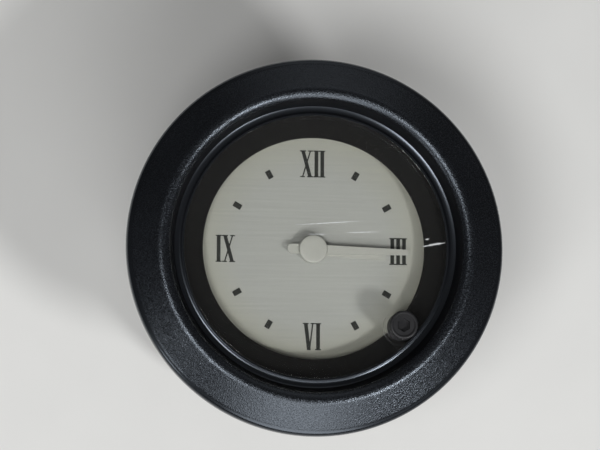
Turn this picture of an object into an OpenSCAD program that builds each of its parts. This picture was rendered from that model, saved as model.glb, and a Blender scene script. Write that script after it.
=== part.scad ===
// Car dashboard clock: a round instrument with a bezel that clips on its case and a quartz movement.
// The origin is on the clock's axis, in the plane where the bezel seats on the dashboard.
// +Z points out of the face, +Y to twelve o'clock. All sizes are in millimetres.

/* [Case] */
// Diameter of the case, to suit the hole in the dashboard
case_d = 52; // [50:0.5:60]
// Thickness of the case wall at its mouth
case_wall = 1.6; // [1.4:0.1:2]
// Width of the ledge that the movement seats on
ledge_w = 1; // [0.8:0.1:1.6]
// Thickness of the case floor
floor_t = 2; // [1.6:0.1:3]
// Room between the circuit board and the case floor
rear_room = 8.4; // [8:0.1:14]
// Chamfer round the rear of the case
rear_chamfer = 1.5; // [0.5:0.1:2]

/* [Bezel] */
// Outer diameter of the bezel
bezel_d = 62; // [60:0.5:70]
// Height of the bezel's outer rim above the dashboard
rim_h = 2.1; // [1.8:0.1:2.8]
// Rounding of the outer rim
rim_round = 0.9; // [0.5:0.1:1.2]
// Width from the lip's shelf out to the crest
throat_w = 1.95; // [1.4:0.05:2.4]
// Height of the crest above the dashboard
crest_h = 4.6; // [4.2:0.1:6]
// Rounding of the crest
crest_round = 1.2; // [0.5:0.1:1.2]
// Height of the lip's underside above the dashboard
lip_under = 0.4; // [0.2:0.1:0.8]
// Thickness of the lip that holds the lens
lip_t = 1.1; // [0.8:0.1:1.4]
// Width of the shelf on top of the lip
lip_shelf = 0.75; // [0.3:0.05:0.8]
// Thickness of the bezel's skirt
skirt_t = 1; // [0.8:0.1:1.3]
// Depth of the skirt below the dashboard
skirt_l = 4; // [3.5:0.1:5]
// Number of snap lugs on the skirt
lug_count = 4; // [3:1:6]
// Width of one snap lug
lug_w = 5; // [4:0.5:7]
// Height of one snap lug
lug_h = 0.9; // [0.7:0.1:1.1]
// How far a snap lug stands out of the skirt
lug_out = 0.55; // [0.3:0.05:0.8]
// Depth of the lugs below the dashboard
lug_drop = 2; // [1.6:0.1:2.3]

/* [Lens] */
// Height of the lens top above the dashboard
lens_top = 1.9; // [1.7:0.1:2.4]
// How far the lens underside lies below the lip
lens_sink = 0.5; // [0.4:0.05:0.6]
// Rounding of the lens edge
lens_round = 0.7; // [0.3:0.05:0.7]
// Width of the flange under the lip
flange_w = 0.95; // [0.8:0.05:1.3]
// Thickness of the flange
flange_t = 0.9; // [0.7:0.05:1.1]
// Width of the pad that the flange continues under the lens
flange_pad = 0.95; // [0.6:0.05:1.2]
// Wall of the tube round the setting knob
tube_wall = 0.35; // [0.3:0.05:0.6]
// Length of that tube below the lens
tube_l = 1; // [1:0.1:1.8]
// Thickness of the rubber seal
seal_t = 0.8; // [0.6:0.1:1.2]
// Width of the rubber seal
seal_w = 0.8; // [0.6:0.05:0.9]

/* [Dial] */
// Diameter of the opening in the shroud
window_d = 36.6; // [36:0.2:38.4]
// Height of the shroud from the dial to its seal
shroud_h = 2.5; // [2.4:0.1:4]
// Height of the shroud's inner edge above the dial
window_h = 2.6; // [2.3:0.1:2.7]
// Thickness of the shroud's lip
shroud_t = 0.55; // [0.4:0.05:0.8]
// Thickness of the shroud's wall
shroud_wall = 1.2; // [1:0.1:1.4]
// Thickness of the dial
dial_t = 0.5; // [0.4:0.1:1]
// Radius of the ring of numerals and marks
print_r = 14.3; // [13:0.1:15]
// Height of the numerals
numeral_h = 4.45; // [3.6:0.05:5]
// Width of the numerals, as a share of a narrow letter
numeral_wide = 1.1; // [0.9:0.05:1.2]
// Length of the hour marks
mark_l = 1.4; // [1:0.05:2.5]
// Width of the hour marks
mark_w = 0.9; // [0.6:0.05:1.5]
// Thickness of the printed paint
paint_t = 0.05; // [0.03:0.01:0.1]

/* [Hands] */
// Length of the minute hand
minute_l = 15.8; // [13:0.1:17]
// Width of the minute hand at the hub
minute_w = 1.6; // [1.2:0.05:2]
// Width of the minute hand at its tip
minute_tip = 0.9; // [0.5:0.05:1.2]
// Length of the minute hand's tail
tail_l = 4.2; // [3:0.1:6]
// Length of the hour hand
hour_l = 12.2; // [9:0.1:13]
// Width of the hour hand at the hub
hour_w = 1.9; // [1.4:0.05:2.4]
// Width of the hour hand at its tip
hour_tip = 1.2; // [0.6:0.05:1.6]
// Thickness of a hand
hand_t = 0.35; // [0.3:0.05:0.45]
// Diameter of the hub cap
hub_d = 4.66; // [4.2:0.02:6]
// Height of the hub cap
hub_h = 0.65; // [0.6:0.05:0.9]
// Place of the minute hand, in degrees clockwise from twelve
minute_a = 91; // [0:1:359]
// Place of the hour hand, in degrees clockwise from twelve
hour_a = 95; // [0:1:359]

/* [Setting knob] */
// Diameter of the knob
knob_d = 4.7; // [4.2:0.1:5.2]
// Height of the knob
knob_h = 3.6; // [3:0.1:4.4]
// Height of the knob's foot above the dashboard
knob_foot = 0.6; // [0.5:0.1:0.9]
// Width across the flats of the socket in the knob
socket_af = 2; // [1.4:0.1:2.4]
// Depth of that socket below the dish
socket_h = 0.8; // [0.8:0.1:1.5]
// Depth of the dish in the knob's top
dish_h = 0.3; // [0.1:0.05:0.5]
// Width of the rim round the dish
dish_rim = 0.5; // [0.4:0.05:0.8]
// Number of flutes round the knob
flute_count = 20; // [12:1:24]
// Angle of the knob's axis from three o'clock
knob_a = -42; // [-46:1:-38]
// Travel of the knob when pushed
push_travel = 1.2; // [1.1:0.1:1.6]
// Diameter of the setting stem
stem_d = 2; // [1.8:0.1:2.2]
// Diameter of the stem's guide pin
pin_d = 1.4; // [1.2:0.1:1.6]
// Wire diameter of the stem's spring
wire_d = 0.35; // [0.3:0.01:0.4]
// Mean diameter of the stem's spring
spring_d = 2.7; // [2.5:0.1:3]
// Turns of the stem's spring
spring_turns = 5; // [4:0.5:5]

/* [Movement] */
// Thickness of the front and back plates
plate_t = 1.5; // [1.2:0.1:2]
// Teeth of the minute wheel
minute_teeth = 36; // [36:12:36]
// Module of the going train
train_m = 0.2; // [0.18:0.01:0.21]
// Step between the levels of the train
level_step = 1.25; // [1.2:0.05:1.5]
// Thickness of a train wheel
wheel_t = 0.5; // [0.4:0.05:0.6]
// Diameter of the centre arbor
arbor_d = 1.2; // [1:0.1:1.3]
// Diameter of the small arbors
small_arbor_d = 0.7; // [0.6:0.05:0.8]
// Diameter of their pivots
pivot_d = 0.5; // [0.4:0.05:0.55]
// Diameter of the rotor magnet
magnet_d = 3.2; // [2.6:0.1:3.4]
// Air gap round the magnet
air_gap = 0.4; // [0.3:0.05:0.6]
// Thickness of the stator and of the coil core
lamination_t = 0.8; // [0.6:0.05:1]
// Length of the coil between its flanges
coil_l = 7.6; // [6:0.1:8.4]
// Diameter of the coil's flanges
coil_d = 4.4; // [3.8:0.1:4.6]
// Diameter of the plate pillars
pillar_d = 3; // [2.6:0.1:3.6]
// Distance of the ring of pillars from the case wall
pillar_ring = 3.7; // [3.6:0.1:4.6]
// Diameter of the frame screws
screw_d = 1.6; // [1.4:0.1:1.8]

/* [Electrics] */
// Thickness of the circuit board
board_t = 1.6; // [1:0.1:2]
// Gap between the back plate and the board
board_gap = 1.5; // [1.5:0.1:3]
// Width of a terminal blade
blade_w = 6.3; // [4.8:0.1:6.3]
// Thickness of a terminal blade
blade_t = 0.8; // [0.5:0.1:1]
// Length of a terminal blade behind the case
blade_l = 9; // [7:0.5:14]
// Distance between the blades
blade_pitch = 8; // [7.8:0.1:9]
// Diameter of the lamp holder's body
holder_d = 8; // [7.4:0.1:8.6]
// Diameter of the lamp
lamp_d = 4.8; // [4:0.1:5.2]
// Distance of the lamp's axis from the case wall
lamp_reach = 6.4; // [6.2:0.1:6.8]

/* [Rear studs] */
// Diameter of the circle that the studs stand on
stud_circle = 32; // [30:0.5:34]
// Diameter of a stud
stud_d = 4; // [3:0.5:5]
// Length of a stud behind the case
stud_l = 12; // [9:0.5:20]
// Height of a stud nut
nut_h = 3.2; // [2.4:0.1:4]
// Thickness of a stud washer
washer_t = 0.8; // [0.5:0.1:1.2]

/* [Fits] */
// Radial play of a running fit
run_play = 0.05; // [0.03:0.01:0.08]
// Radial play of a pressed fit
press_play = 0.01; // [0.005:0.005:0.02]
// Radial play of a piece that drops into its seat
drop_play = 0.1; // [0.06:0.01:0.16]
// Gap between faces that turn past each other
face_gap = 0.05; // [0.03:0.01:0.08]

/* [Hidden] */
$fn = 96;
cut = 0.5;

// Radii, from the case inwards
case_r = case_d / 2;
mouth_r = case_r - case_wall;
plate_r = mouth_r - 2 * drop_play;
bore_r = plate_r - ledge_w;
skirt_r = mouth_r - drop_play;
skirt_in = skirt_r - skirt_t;
flange_r = skirt_in - 2 * drop_play;
lens_r = flange_r - flange_w;
lip_r = lens_r + 2 * drop_play;
crest_rad = lip_r + lip_shelf + throat_w;
rim_rad = bezel_d / 2;
seat_in = case_r + 2 * drop_play;
seat_recess = 0.2;
shroud_in = flange_r - shroud_wall;
seal_in = flange_r - seal_w;
dial_r = flange_r - drop_play;
window_r = window_d / 2;
shroud_rise = 0.6;
back_room = 2;
back_r = bore_r - back_room;
board_room = 2.4;
board_r = bore_r - board_room;

// Levels, from the lip down to the rear
lens_under = lip_under - lens_sink;
flange_z = lip_under - flange_t;
seal_z = flange_z - seal_t;
dial_z = seal_z - shroud_h;
dial_back = dial_z - dial_t;
plate_clear = 0.2;
pinion_h = 1;
dial_clear = 0.8;
motion_gap = plate_clear + push_travel + pinion_h + dial_clear;
front_z = dial_back - motion_gap;
ledge_z = front_z - plate_t;
train_clear = 0.4;
train_foot = 1.35;
train_gap = train_clear + 3 * level_step + wheel_t + train_foot;
back_z = ledge_z - train_gap;
back_under = back_z - plate_t;
board_z = back_under - board_gap;
board_under = board_z - board_t;
floor_z = board_under - rear_room;
rear_z = floor_z - floor_t;

// Tooth form, as shares of the module and of the pitch
tooth_add = 0.85;
tooth_ded = 1.15;
tip_share = 0.18;
root_share = 0.54;

// Setting knob: it stands as far out as the lens lets its tube go
knob_r = knob_d / 2;
tube_bore = knob_r + 2 * drop_play;
tube_r = tube_bore + tube_wall;
tube_edge = 0.05;
knob_reach = lens_r - tube_r - tube_edge;
knob_at = knob_reach * [cos(knob_a), sin(knob_a)];
stem_r = stem_d / 2;
pin_r = pin_d / 2;
collar_h = 0.75;
collar_z = ledge_z - face_gap - collar_h;
stem_washer_h = 0.5;
pin_over = 0.9;
stem_washer_z = collar_z - stem_washer_h;
stem_foot_w = 0.7;
stem_foot_r = stem_r + stem_foot_w;
bush_wall = 0.6;

// Motion works: the minute wheel stands half way from the centre to the knob
pinion_teeth = 12;
hour_teeth = 48;
works_d = knob_reach / 2;
works_m = 2 * works_d / (minute_teeth + pinion_teeth);
hour_m = 2 * works_d / (hour_teeth + pinion_teeth);
works_at = works_d * [cos(knob_a), sin(knob_a)];
post_r = 0.6;
post_foot_w = 0.6;
minute_wheel_lift = 0.4;
minute_wheel_z = front_z + minute_wheel_lift;
minute_wheel_t = 0.6;
minute_pinion_h = 1.3;
hour_wheel_lift = 1.5;
hour_wheel_z = front_z + hour_wheel_lift;
hour_wheel_t = 0.6;
cannon_lift = 0.3;
cannon_z = front_z + cannon_lift;
clip_h = 0.3;
clip_z = minute_wheel_z + minute_wheel_t + minute_pinion_h + 2 * face_gap;
arbor_r = arbor_d / 2;
cannon_wall = 0.4;
cannon_pipe = arbor_r + cannon_wall;
hour_pipe_wall = 0.45;
hour_pipe = cannon_pipe + run_play + hour_pipe_wall;
centre_bush_wall = 0.7;
bush_flange_w = 0.5;
bush_flange_h = 0.15;

// Hands
hand_gap = 0.25;
hour_lift = 0.4;
hour_z = dial_z + hour_lift;
minute_z = hour_z + hand_t + hand_gap;
hub_z = minute_z + hand_t;
hub_r = hub_d / 2;
hour_hub_step = 0.2;
hour_tail_step = 0.4;
cap_skin = 0.3;

// Going train: centre, third, seconds and step wheels, then the rotor
leaf_teeth = 8;
centre_teeth = 80;
third_teeth = 48;
step_teeth = 40;
train_dirs = [150, 80, 20, -10];
train_teeth = [centre_teeth, third_teeth, third_teeth, step_teeth];
small_arbor_r = small_arbor_d / 2;
pivot_r = pivot_d / 2;
pivot_short = 0.3;
leaf_over = 0.2;
leaf_sink = 0.05;
leaf_l = wheel_t + 2 * leaf_over;
function polar(r, a) = r * [cos(a), sin(a)];
function train_reach(i) = train_m * (train_teeth[i] + leaf_teeth) / 2;
function train_at(i) = i == 0 ? [0, 0] : train_at(i - 1) + polar(train_reach(i - 1), train_dirs[i - 1]);
function level_z(i) = ledge_z - train_clear - i * level_step - wheel_t;
// Angle of a tooth on gear 2 that meshes with gear 1, which has a tooth at angle a1
function mesh_angle(a1, n1, n2, dir) = dir + 180 + (180 - (a1 - dir) * n1) / n2;
// Wheel and pinion of one arbor are cut in line, so the angle carries down the train
function train_angle(i) = i == 0 ? 0
  : mesh_angle(train_angle(i - 1), train_teeth[i - 1], leaf_teeth, train_dirs[i - 1]);
minute_wheel_angle = mesh_angle(0, pinion_teeth, minute_teeth, knob_a);
hour_wheel_angle = mesh_angle(0, pinion_teeth, hour_teeth, knob_a + 180);
setting_angle = mesh_angle(minute_wheel_angle, minute_teeth, pinion_teeth, knob_a);
arbor_collar_h = 0.3;
arbor_collar_w = 0.6;
arbor_collar_z = ledge_z - face_gap - arbor_collar_h;
clutch_h = 0.45;
clutch_skin = 0.15;
clutch_seat_w = 0.7;
clutch_w = 1.3;
clutch_z = level_z(0) - face_gap - clutch_h;
clutch_collar_h = 0.4;

// Step motor
rotor_at = train_at(4);
stator_lift = 0.45;
stator_z = level_z(3) + wheel_t + stator_lift;
core_z = stator_z + lamination_t;
magnet_over = 0.15;
stator_hole = magnet_d / 2 + air_gap;
stator_rim = 1.2;
arm_w = 2.4;
coil_r = coil_d / 2;
coil_clear = 3.2;
coil_drop = 3;
coil_at = [rotor_at.x + stator_hole + stator_rim + coil_clear + coil_r, rotor_at.y - coil_drop];
coil_flange_t = 0.6;
coil_half = coil_l / 2 + coil_flange_t;
arm_clear = 0.4;
post_at = coil_half + arm_w / 2 + arm_clear;
core_w = 1.6;
core_axis = core_z + lamination_t / 2;
stake_r = 0.5;
stake_over = 0.2;
boss_step = 0.1;

// Frame
pillar_angles = [10, 150, 270];
pillar_r = pillar_d / 2;
pillar_places = [for (a = pillar_angles) polar(bore_r - pillar_ring, a)];
spigot_step = 0.5;
spigot_r = pillar_r - spigot_step;
spigot_short = 0.2;
screw_r = screw_d / 2;
screw_reach = 4;
screw_short = 0.3;
screw_head_h = 1.1;
screw_head_w = 0.8;
screw_head_r = screw_r + screw_head_w;
screw_slot_w = 0.4;
screw_slot_h = 0.5;
peg_angles = [20, 160];
peg_r = 0.6;
peg_over = 0.2;
peg_inset = 1.35;
peg_ring = shroud_in - peg_inset;
peg_places = [for (a = peg_angles) polar(peg_ring, a)];
plate_rim_w = 0.8;
rim_in = flange_r - plate_rim_w;
lamp_port = 0.6;
key_w = 2.8;
key_d = 0.8;

// Rear fittings
blade_inset = 11.2;
blade_y = bore_r - blade_inset;
blade_places = [for (i = [-1:1]) [i * blade_pitch, blade_y]];
blade_tail_over = 0.6;
blade_tail_w = 2.4;
blade_ear = 0.7;
blade_ear_h = 1;
lamp_a = 225;
lamp_r = lamp_d / 2;
holder_r = holder_d / 2;
lamp_at = polar(bore_r - lamp_reach, lamp_a);
holder_flange_h = 1.2;
holder_flange_w = 1.5;
holder_flange_r = holder_r + holder_flange_w;
holder_gap = 0.8;
holder_top = board_under - holder_gap;
socket_depth = 3.4;
lamp_seat = holder_top - socket_depth;
lamp_gap = 2;
lamp_top = ledge_z - lamp_gap;
bayonet_out = 1.1;
bayonet_w = 2;
bayonet_h = 0.8;
grip_w = 2;
grip_h = 2.6;
grip_short = 1;
stud_r = stud_d / 2;
stud_head_h = stud_r;
stud_head_w = 1.92;
stud_head_r = stud_r + stud_head_w;
stud_boss_w = 1.2;
stud_boss_r = stud_head_r + stud_boss_w;
stud_sides = [-1, 1];
nut_r = stud_d;
washer_w = 0.5;
washer_r = nut_r + washer_w;

// Points of an arc about c
function arc(c, r, from, to, steps = 8) =
  [for (i = [0:steps]) c + polar(r, from + (to - from) * i / steps)];

// Places children at each of a list of points
module at(points) {
  for (p = points) translate([p.x, p.y, 0]) children();
}

// A disc from level z, h high
module disc(r, z, h) {
  translate([0, 0, z]) cylinder(r = r, h = h);
}

// A ring from level z, h high
module ring(r_out, r_in, z, h) {
  difference() {
    disc(r_out, z, h);
    disc(r_in, z - cut, h + 2 * cut);
  }
}

// A box centred on the axis, standing on level z
module slab(w, d, z, h) {
  translate([-w / 2, -d / 2, z]) cube([w, d, h]);
}

// A straight-cut gear of n teeth and module m, with a tooth at angle a
module gear(n, m, a, z, h) {
  pitch = 360 / n;
  root = n * m / 2 - tooth_ded * m;
  tip = n * m / 2 + tooth_add * m;
  corners = [[-root_share, root], [-tip_share, tip], [tip_share, tip], [root_share, root]];
  translate([0, 0, z]) linear_extrude(h)
    polygon([for (i = [0:n - 1], c = corners) polar(c[1], a + (i + c[0] / 2) * pitch)]);
}

// Bezel: a cone that rises to a rounded crest, with a lip over the lens and a snap skirt
rim_centre = [rim_rad - rim_round, rim_h - rim_round];
crest_centre = [crest_rad, crest_h - crest_round];
face_run = rim_centre - crest_centre;
face_a = atan2(face_run.y, face_run.x) + acos((crest_round - rim_round) / norm(face_run));
shelf_foot = [lip_r + lip_shelf, lip_under + lip_t];
wall_run = shelf_foot - crest_centre;
wall_a = atan2(wall_run.y, wall_run.x) + 360 - acos(crest_round / norm(wall_run));
lug_sweep = 360 * lug_w / (2 * PI * skirt_r);
window_sweep = lug_sweep + 360 * 6 * drop_play / (2 * PI * skirt_r);

module lug_arc(i, sweep, profile) {
  rotate(45 + i * 360 / lug_count - sweep / 2) rotate_extrude(angle = sweep) polygon(profile);
}

module bezel() {
  lug_root = skirt_r - skirt_t / 3;
  color("#18181b") {
    rotate_extrude() polygon(concat(
      [[skirt_in, -skirt_l], [skirt_r, -skirt_l], [skirt_r, seat_recess], [seat_in, seat_recess],
        [seat_in, 0], [rim_rad, 0]],
      arc(rim_centre, rim_round, 0, face_a),
      arc(crest_centre, crest_round, face_a, wall_a, 12),
      [shelf_foot, [lip_r, lip_under + lip_t], [lip_r, lip_under], [skirt_in, lip_under]]));
    for (i = [0:lug_count - 1])
      lug_arc(i, lug_sweep, [[lug_root, -lug_drop - lug_h], [skirt_r, -lug_drop - lug_h],
        [skirt_r + lug_out, -lug_drop - lug_h / 2], [skirt_r + lug_out, -lug_drop],
        [lug_root, -lug_drop]]);
  }
}

// Lens: a clear plate with a flange under the bezel's lip and a tube round the knob
module lens() {
  pad_in = lens_r - flange_pad;
  color("#dfe6e8", 0.3) difference() {
    union() {
      rotate_extrude() polygon(concat(
        [[0, lens_under], [pad_in, lens_under], [pad_in, flange_z], [flange_r, flange_z],
          [flange_r, lip_under], [lens_r, lip_under]],
        arc([lens_r - lens_round, lens_top - lens_round], lens_round, 0, 90),
        [[0, lens_top]]));
      at([knob_at]) disc(tube_r, lens_under - tube_l, tube_l + cut);
    }
    at([knob_at]) disc(tube_bore, lens_under - tube_l - cut, tube_l + lens_top - lens_under + 2 * cut);
  }
}

module lens_seal() {
  color("#202022") ring(flange_r, seal_in, seal_z, seal_t);
}

// Shroud: a matt black mask with a sloping lip over the edge of the dial and a pocket for the knob's tube
module dial_shroud() {
  edge_z = dial_z + window_h;
  color("#1d1e1d") difference() {
    rotate_extrude() polygon([[window_r, edge_z - shroud_t], [window_r, edge_z],
      [shroud_in, seal_z + shroud_rise], [shroud_in, seal_z], [flange_r, seal_z],
      [flange_r, dial_z], [shroud_in, dial_z], [shroud_in, edge_z - shroud_t - drop_play]]);
    at([knob_at]) {
      disc(tube_r + 3 * drop_play, lens_under - tube_l - 1.5 * drop_play, shroud_h + window_h);
      disc(stem_r + 3 * drop_play, dial_z + shroud_rise, shroud_h + window_h);
    }
  }
}

module dial_plate() {
  color("#c9cbc4") difference() {
    disc(dial_r, dial_back, dial_t);
    disc(hour_pipe + 4 * drop_play, dial_back - cut, dial_t + 2 * cut);
    at([knob_at]) disc(stem_r + 3 * drop_play, dial_back - cut, dial_t + 2 * cut);
    at(peg_places) disc(peg_r + run_play, dial_back - cut, dial_t + 2 * cut);
  }
}

// Roman numerals: thick and thin strokes between fine serifs, sized for a height of one
bar_w = 0.125;
hair_w = 0.045;
serif_h = 0.04;
one_w = 0.2;
five_w = 0.43;
ten_w = 0.47;

module stroke(foot, head, w) {
  polygon([[foot - w / 2, 0], [foot + w / 2, 0], [head + w / 2, 1], [head - w / 2, 1]]);
}

module serif(x, w, y) {
  translate([x - w / 2, y]) square([w, serif_h]);
}

module numeral_one(x) {
  translate([x, 0]) {
    stroke(one_w / 2, one_w / 2, bar_w);
    for (y = [0, 1 - serif_h]) serif(one_w / 2, one_w, y);
  }
}

module numeral_five(x) {
  translate([x, 0]) {
    stroke(0.22, 0.11, bar_w);
    stroke(0.24, 0.35, hair_w);
    serif(0.11, 0.2, 1 - serif_h);
    serif(0.35, 0.15, 1 - serif_h);
  }
}

module numeral_ten(x) {
  translate([x, 0]) {
    stroke(0.36, 0.11, bar_w);
    stroke(0.1, 0.37, hair_w);
    serif(0.11, 0.2, 1 - serif_h);
    serif(0.37, 0.16, 1 - serif_h);
    serif(0.1, 0.16, 0);
    serif(0.36, 0.2, 0);
  }
}

// Sets a numeral of width w upright, centred on the print ring at angle a
module set_numeral(a, w) {
  translate(polar(print_r, a)) scale([numeral_wide * numeral_h, numeral_h])
    translate([-w / 2, -0.5]) children();
}

module dial_markings() {
  color("#2b2d30") translate([0, 0, dial_z]) linear_extrude(paint_t) {
    set_numeral(90, ten_w + 2 * one_w) {
      union() {
        numeral_ten(0);
        numeral_one(ten_w);
        numeral_one(ten_w + one_w);
      }
    }
    set_numeral(0, 3 * one_w) for (i = [0:2]) numeral_one(i * one_w);
    set_numeral(-90, five_w + one_w) {
      union() {
        numeral_five(0);
        numeral_one(five_w);
      }
    }
    set_numeral(180, one_w + ten_w) {
      union() {
        numeral_one(0);
        numeral_ten(one_w);
      }
    }
    for (i = [0:11])
      if (i % 3 != 0) rotate(i * 30) translate([print_r, 0]) square([mark_l, mark_w], center = true);
  }
}

// Outline of a hand that points along +Y, with a round tail
module hand_outline(length, w, tip, tail) {
  polygon(concat([[tip / 2, length], [-tip / 2, length], [-w / 2, 0]],
    arc([0, w / 2 - tail], w / 2, 180, 360), [[w / 2, 0]]));
}

// A flat hand with a bore, turned to angle a clockwise from twelve
module hand(bore_r, a, z) {
  color("#e9e9e6") rotate(-a) translate([0, 0, z]) linear_extrude(hand_t) difference() {
    children();
    circle(bore_r + press_play);
  }
}

module hour_hand() {
  hand(hour_pipe, hour_a, hour_z) union() {
    hand_outline(hour_l, hour_w, hour_tip, hub_r - hour_hub_step - hour_tail_step);
    circle(hub_r - hour_hub_step);
  }
}

module minute_hand() {
  hand(cannon_pipe, minute_a, minute_z) union() {
    hand_outline(minute_l, minute_w, minute_tip, tail_l);
    circle(hub_r);
  }
}

module hub_cap() {
  edge = 0.2;
  color("#efefec") difference() {
    rotate_extrude() polygon(concat([[0, hub_z], [hub_r, hub_z]],
      arc([hub_r - edge, hub_z + hub_h - edge], edge, 0, 90, 5), [[0, hub_z + hub_h]]));
    disc(arbor_r + press_play, hub_z - cut, hub_h - cap_skin + cut);
  }
}

// Setting knob, its stem and the pinion that is pushed into the minute wheel
knob_top = knob_foot + knob_h;
knob_floor = knob_top - dish_h - socket_h;
knob_web = 0.4;
knob_edge = 0.3;
flute_r = 0.18;
flute_sink = 0.12;

module setting_knob() {
  color("#151517") at([knob_at]) difference() {
    rotate_extrude() polygon(concat([[0, knob_foot], [knob_r, knob_foot]],
      arc([knob_r - knob_edge, knob_top - knob_edge], knob_edge, 0, 90, 5), [[0, knob_top]]));
    disc(knob_r - dish_rim, knob_top - dish_h, dish_h + cut);
    translate([0, 0, knob_floor]) rotate(knob_a + 12)
      cylinder(r = socket_af / sqrt(3), h = knob_h, $fn = 6);
    disc(stem_r + press_play, knob_foot - cut, knob_floor - knob_web - knob_foot + cut);
    for (i = [0:flute_count - 1])
      rotate(i * 360 / flute_count) translate([knob_r + flute_r - flute_sink, 0, 0])
        disc(flute_r, lens_top + push_travel + 2 * drop_play, knob_h);
  }
}

module setting_stem() {
  color("#b9bcc0") at([knob_at]) {
    disc(stem_r, collar_z, knob_floor - knob_web - collar_z);
    disc(stem_foot_r, collar_z, collar_h);
    disc(pin_r, back_z - pin_over, collar_z - back_z + pin_over);
  }
}

module setting_pinion() {
  pinion_z = front_z + plate_clear + push_travel;
  color("#c9a24a") at([knob_at]) difference() {
    gear(pinion_teeth, works_m, setting_angle, pinion_z, pinion_h);
    disc(stem_r + press_play, pinion_z - cut, pinion_h + 2 * cut);
  }
}

module stem_bush() {
  color("#c9a24a") at([knob_at]) ring(stem_r + bush_wall, stem_r + run_play, ledge_z, plate_t);
}

module stem_washer() {
  color("#b9bcc0") at([knob_at])
    ring(stem_foot_r, pin_r + run_play, stem_washer_z, stem_washer_h - face_gap);
}

// Spring: one unbroken tube along a helix between the back plate and the washer
spring_sides = 6;
spring_steps = 8;
spring_rings = spring_steps * spring_turns;
spring_clear = 0.03;
spring_from = back_z + wire_d / 2 + spring_clear;
spring_rise = stem_washer_z - spring_clear - wire_d / 2 - spring_from;
spring_path = [for (i = [0:spring_rings]) concat(polar(spring_d / 2, i * 360 / spring_steps),
  [spring_from + spring_rise * i / spring_rings])];
spring_gap = min([for (i = [0:spring_rings - spring_steps])
  norm(spring_path[i + spring_steps] - spring_path[i])]) - wire_d;
echo(least_gap_between_spring_turns = spring_gap);

module setting_spring() {
  points = [for (i = [0:spring_rings], s = [0:spring_sides - 1])
    let (turn = i * 360 / spring_steps, side = polar(wire_d / 2, s * 360 / spring_sides))
      spring_path[i] + [side.x * cos(turn), side.x * sin(turn), side.y]];
  walls = [for (i = [0:spring_rings - 1], s = [0:spring_sides - 1], half = [0, 1])
    let (a = i * spring_sides + s, b = i * spring_sides + (s + 1) % spring_sides)
      half == 0 ? [a, b, b + spring_sides] : [a, b + spring_sides, a + spring_sides]];
  last = spring_rings * spring_sides;
  ends = [for (s = [1:spring_sides - 2], far = [0, 1])
    far == 0 ? [0, s + 1, s] : [last, last + s, last + s + 1]];
  color("#9a9da2") at([knob_at]) polyhedron(points = points, faces = concat(walls, ends));
}

// Motion works between the front plate and the dial
module cannon_pinion() {
  color("#c9a24a") difference() {
    union() {
      gear(pinion_teeth, works_m, 0, cannon_z, pinion_h);
      disc(cannon_pipe, cannon_z, hub_z - cannon_z);
    }
    disc(arbor_r + press_play, cannon_z - cut, hub_z - cannon_z + 2 * cut);
  }
}

module minute_wheel() {
  color("#e3ddcb") at([works_at]) difference() {
    union() {
      gear(minute_teeth, works_m, minute_wheel_angle, minute_wheel_z, minute_wheel_t);
      gear(pinion_teeth, hour_m, 0, minute_wheel_z, minute_wheel_t + minute_pinion_h);
    }
    disc(post_r + run_play, minute_wheel_z - cut, minute_wheel_t + minute_pinion_h + 2 * cut);
  }
}

module minute_wheel_post() {
  foot_h = minute_wheel_z - front_z - face_gap;
  color("#b9bcc0") at([works_at]) {
    disc(post_r, ledge_z, clip_z + clip_h - ledge_z);
    disc(post_r + post_foot_w, front_z, foot_h);
  }
}

module minute_wheel_clip() {
  color("#8b8e93") at([works_at]) ring(post_r + post_foot_w, post_r + press_play, clip_z, clip_h);
}

module hour_wheel() {
  pipe_top = hour_z + hand_t;
  color("#e3ddcb") difference() {
    union() {
      gear(hour_teeth, hour_m, hour_wheel_angle, hour_wheel_z, hour_wheel_t);
      disc(hour_pipe, hour_wheel_z, pipe_top - hour_wheel_z);
    }
    disc(cannon_pipe + run_play, hour_wheel_z - cut, pipe_top - hour_wheel_z + 2 * cut);
  }
}

module centre_bush() {
  color("#c9a24a") difference() {
    union() {
      disc(arbor_r + centre_bush_wall, ledge_z, plate_t);
      disc(arbor_r + centre_bush_wall + bush_flange_w, front_z, bush_flange_h);
    }
    disc(arbor_r + run_play, ledge_z - cut, plate_t + bush_flange_h + 2 * cut);
  }
}

// Going train between the plates, driven by the rotor of the step motor
module centre_arbor() {
  shoulder = back_z + 2 * face_gap;
  color("#b9bcc0") {
    disc(arbor_r, shoulder, hub_z + hub_h - cap_skin - face_gap - shoulder);
    disc(arbor_r + arbor_collar_w, arbor_collar_z, arbor_collar_h);
    disc(pivot_r, back_under + pivot_short, shoulder - back_under - pivot_short);
  }
}

module clutch_spring() {
  bore = arbor_r + press_play;
  top = clutch_z + clutch_h;
  color("#c7b377") rotate_extrude() polygon([[bore, clutch_z], [arbor_r + clutch_seat_w, clutch_z],
    [arbor_r + clutch_w, top - clutch_skin], [arbor_r + clutch_w, top],
    [arbor_r + clutch_seat_w - clutch_skin, clutch_z + clutch_skin], [bore, clutch_z + clutch_skin]]);
}

module clutch_collar() {
  color("#b9bcc0")
    ring(arbor_r + clutch_seat_w, arbor_r + press_play, clutch_z - clutch_collar_h, clutch_collar_h);
}

// Holes that lighten a wheel, as shares of its pitch radius
hole_ring = 0.6;
hole_size = 0.2;

module wheel_holes(pitch_r, z) {
  at([for (i = [0:4]) polar(pitch_r * hole_ring, 36 + 72 * i)])
    disc(pitch_r * hole_size, z - cut, wheel_t + 2 * cut);
}

module centre_wheel() {
  color("#e3ddcb") difference() {
    gear(centre_teeth, train_m, train_angle(0), level_z(0), wheel_t);
    disc(arbor_r + run_play, level_z(0) - cut, wheel_t + 2 * cut);
    wheel_holes(centre_teeth * train_m / 2, level_z(0));
  }
}

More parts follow.
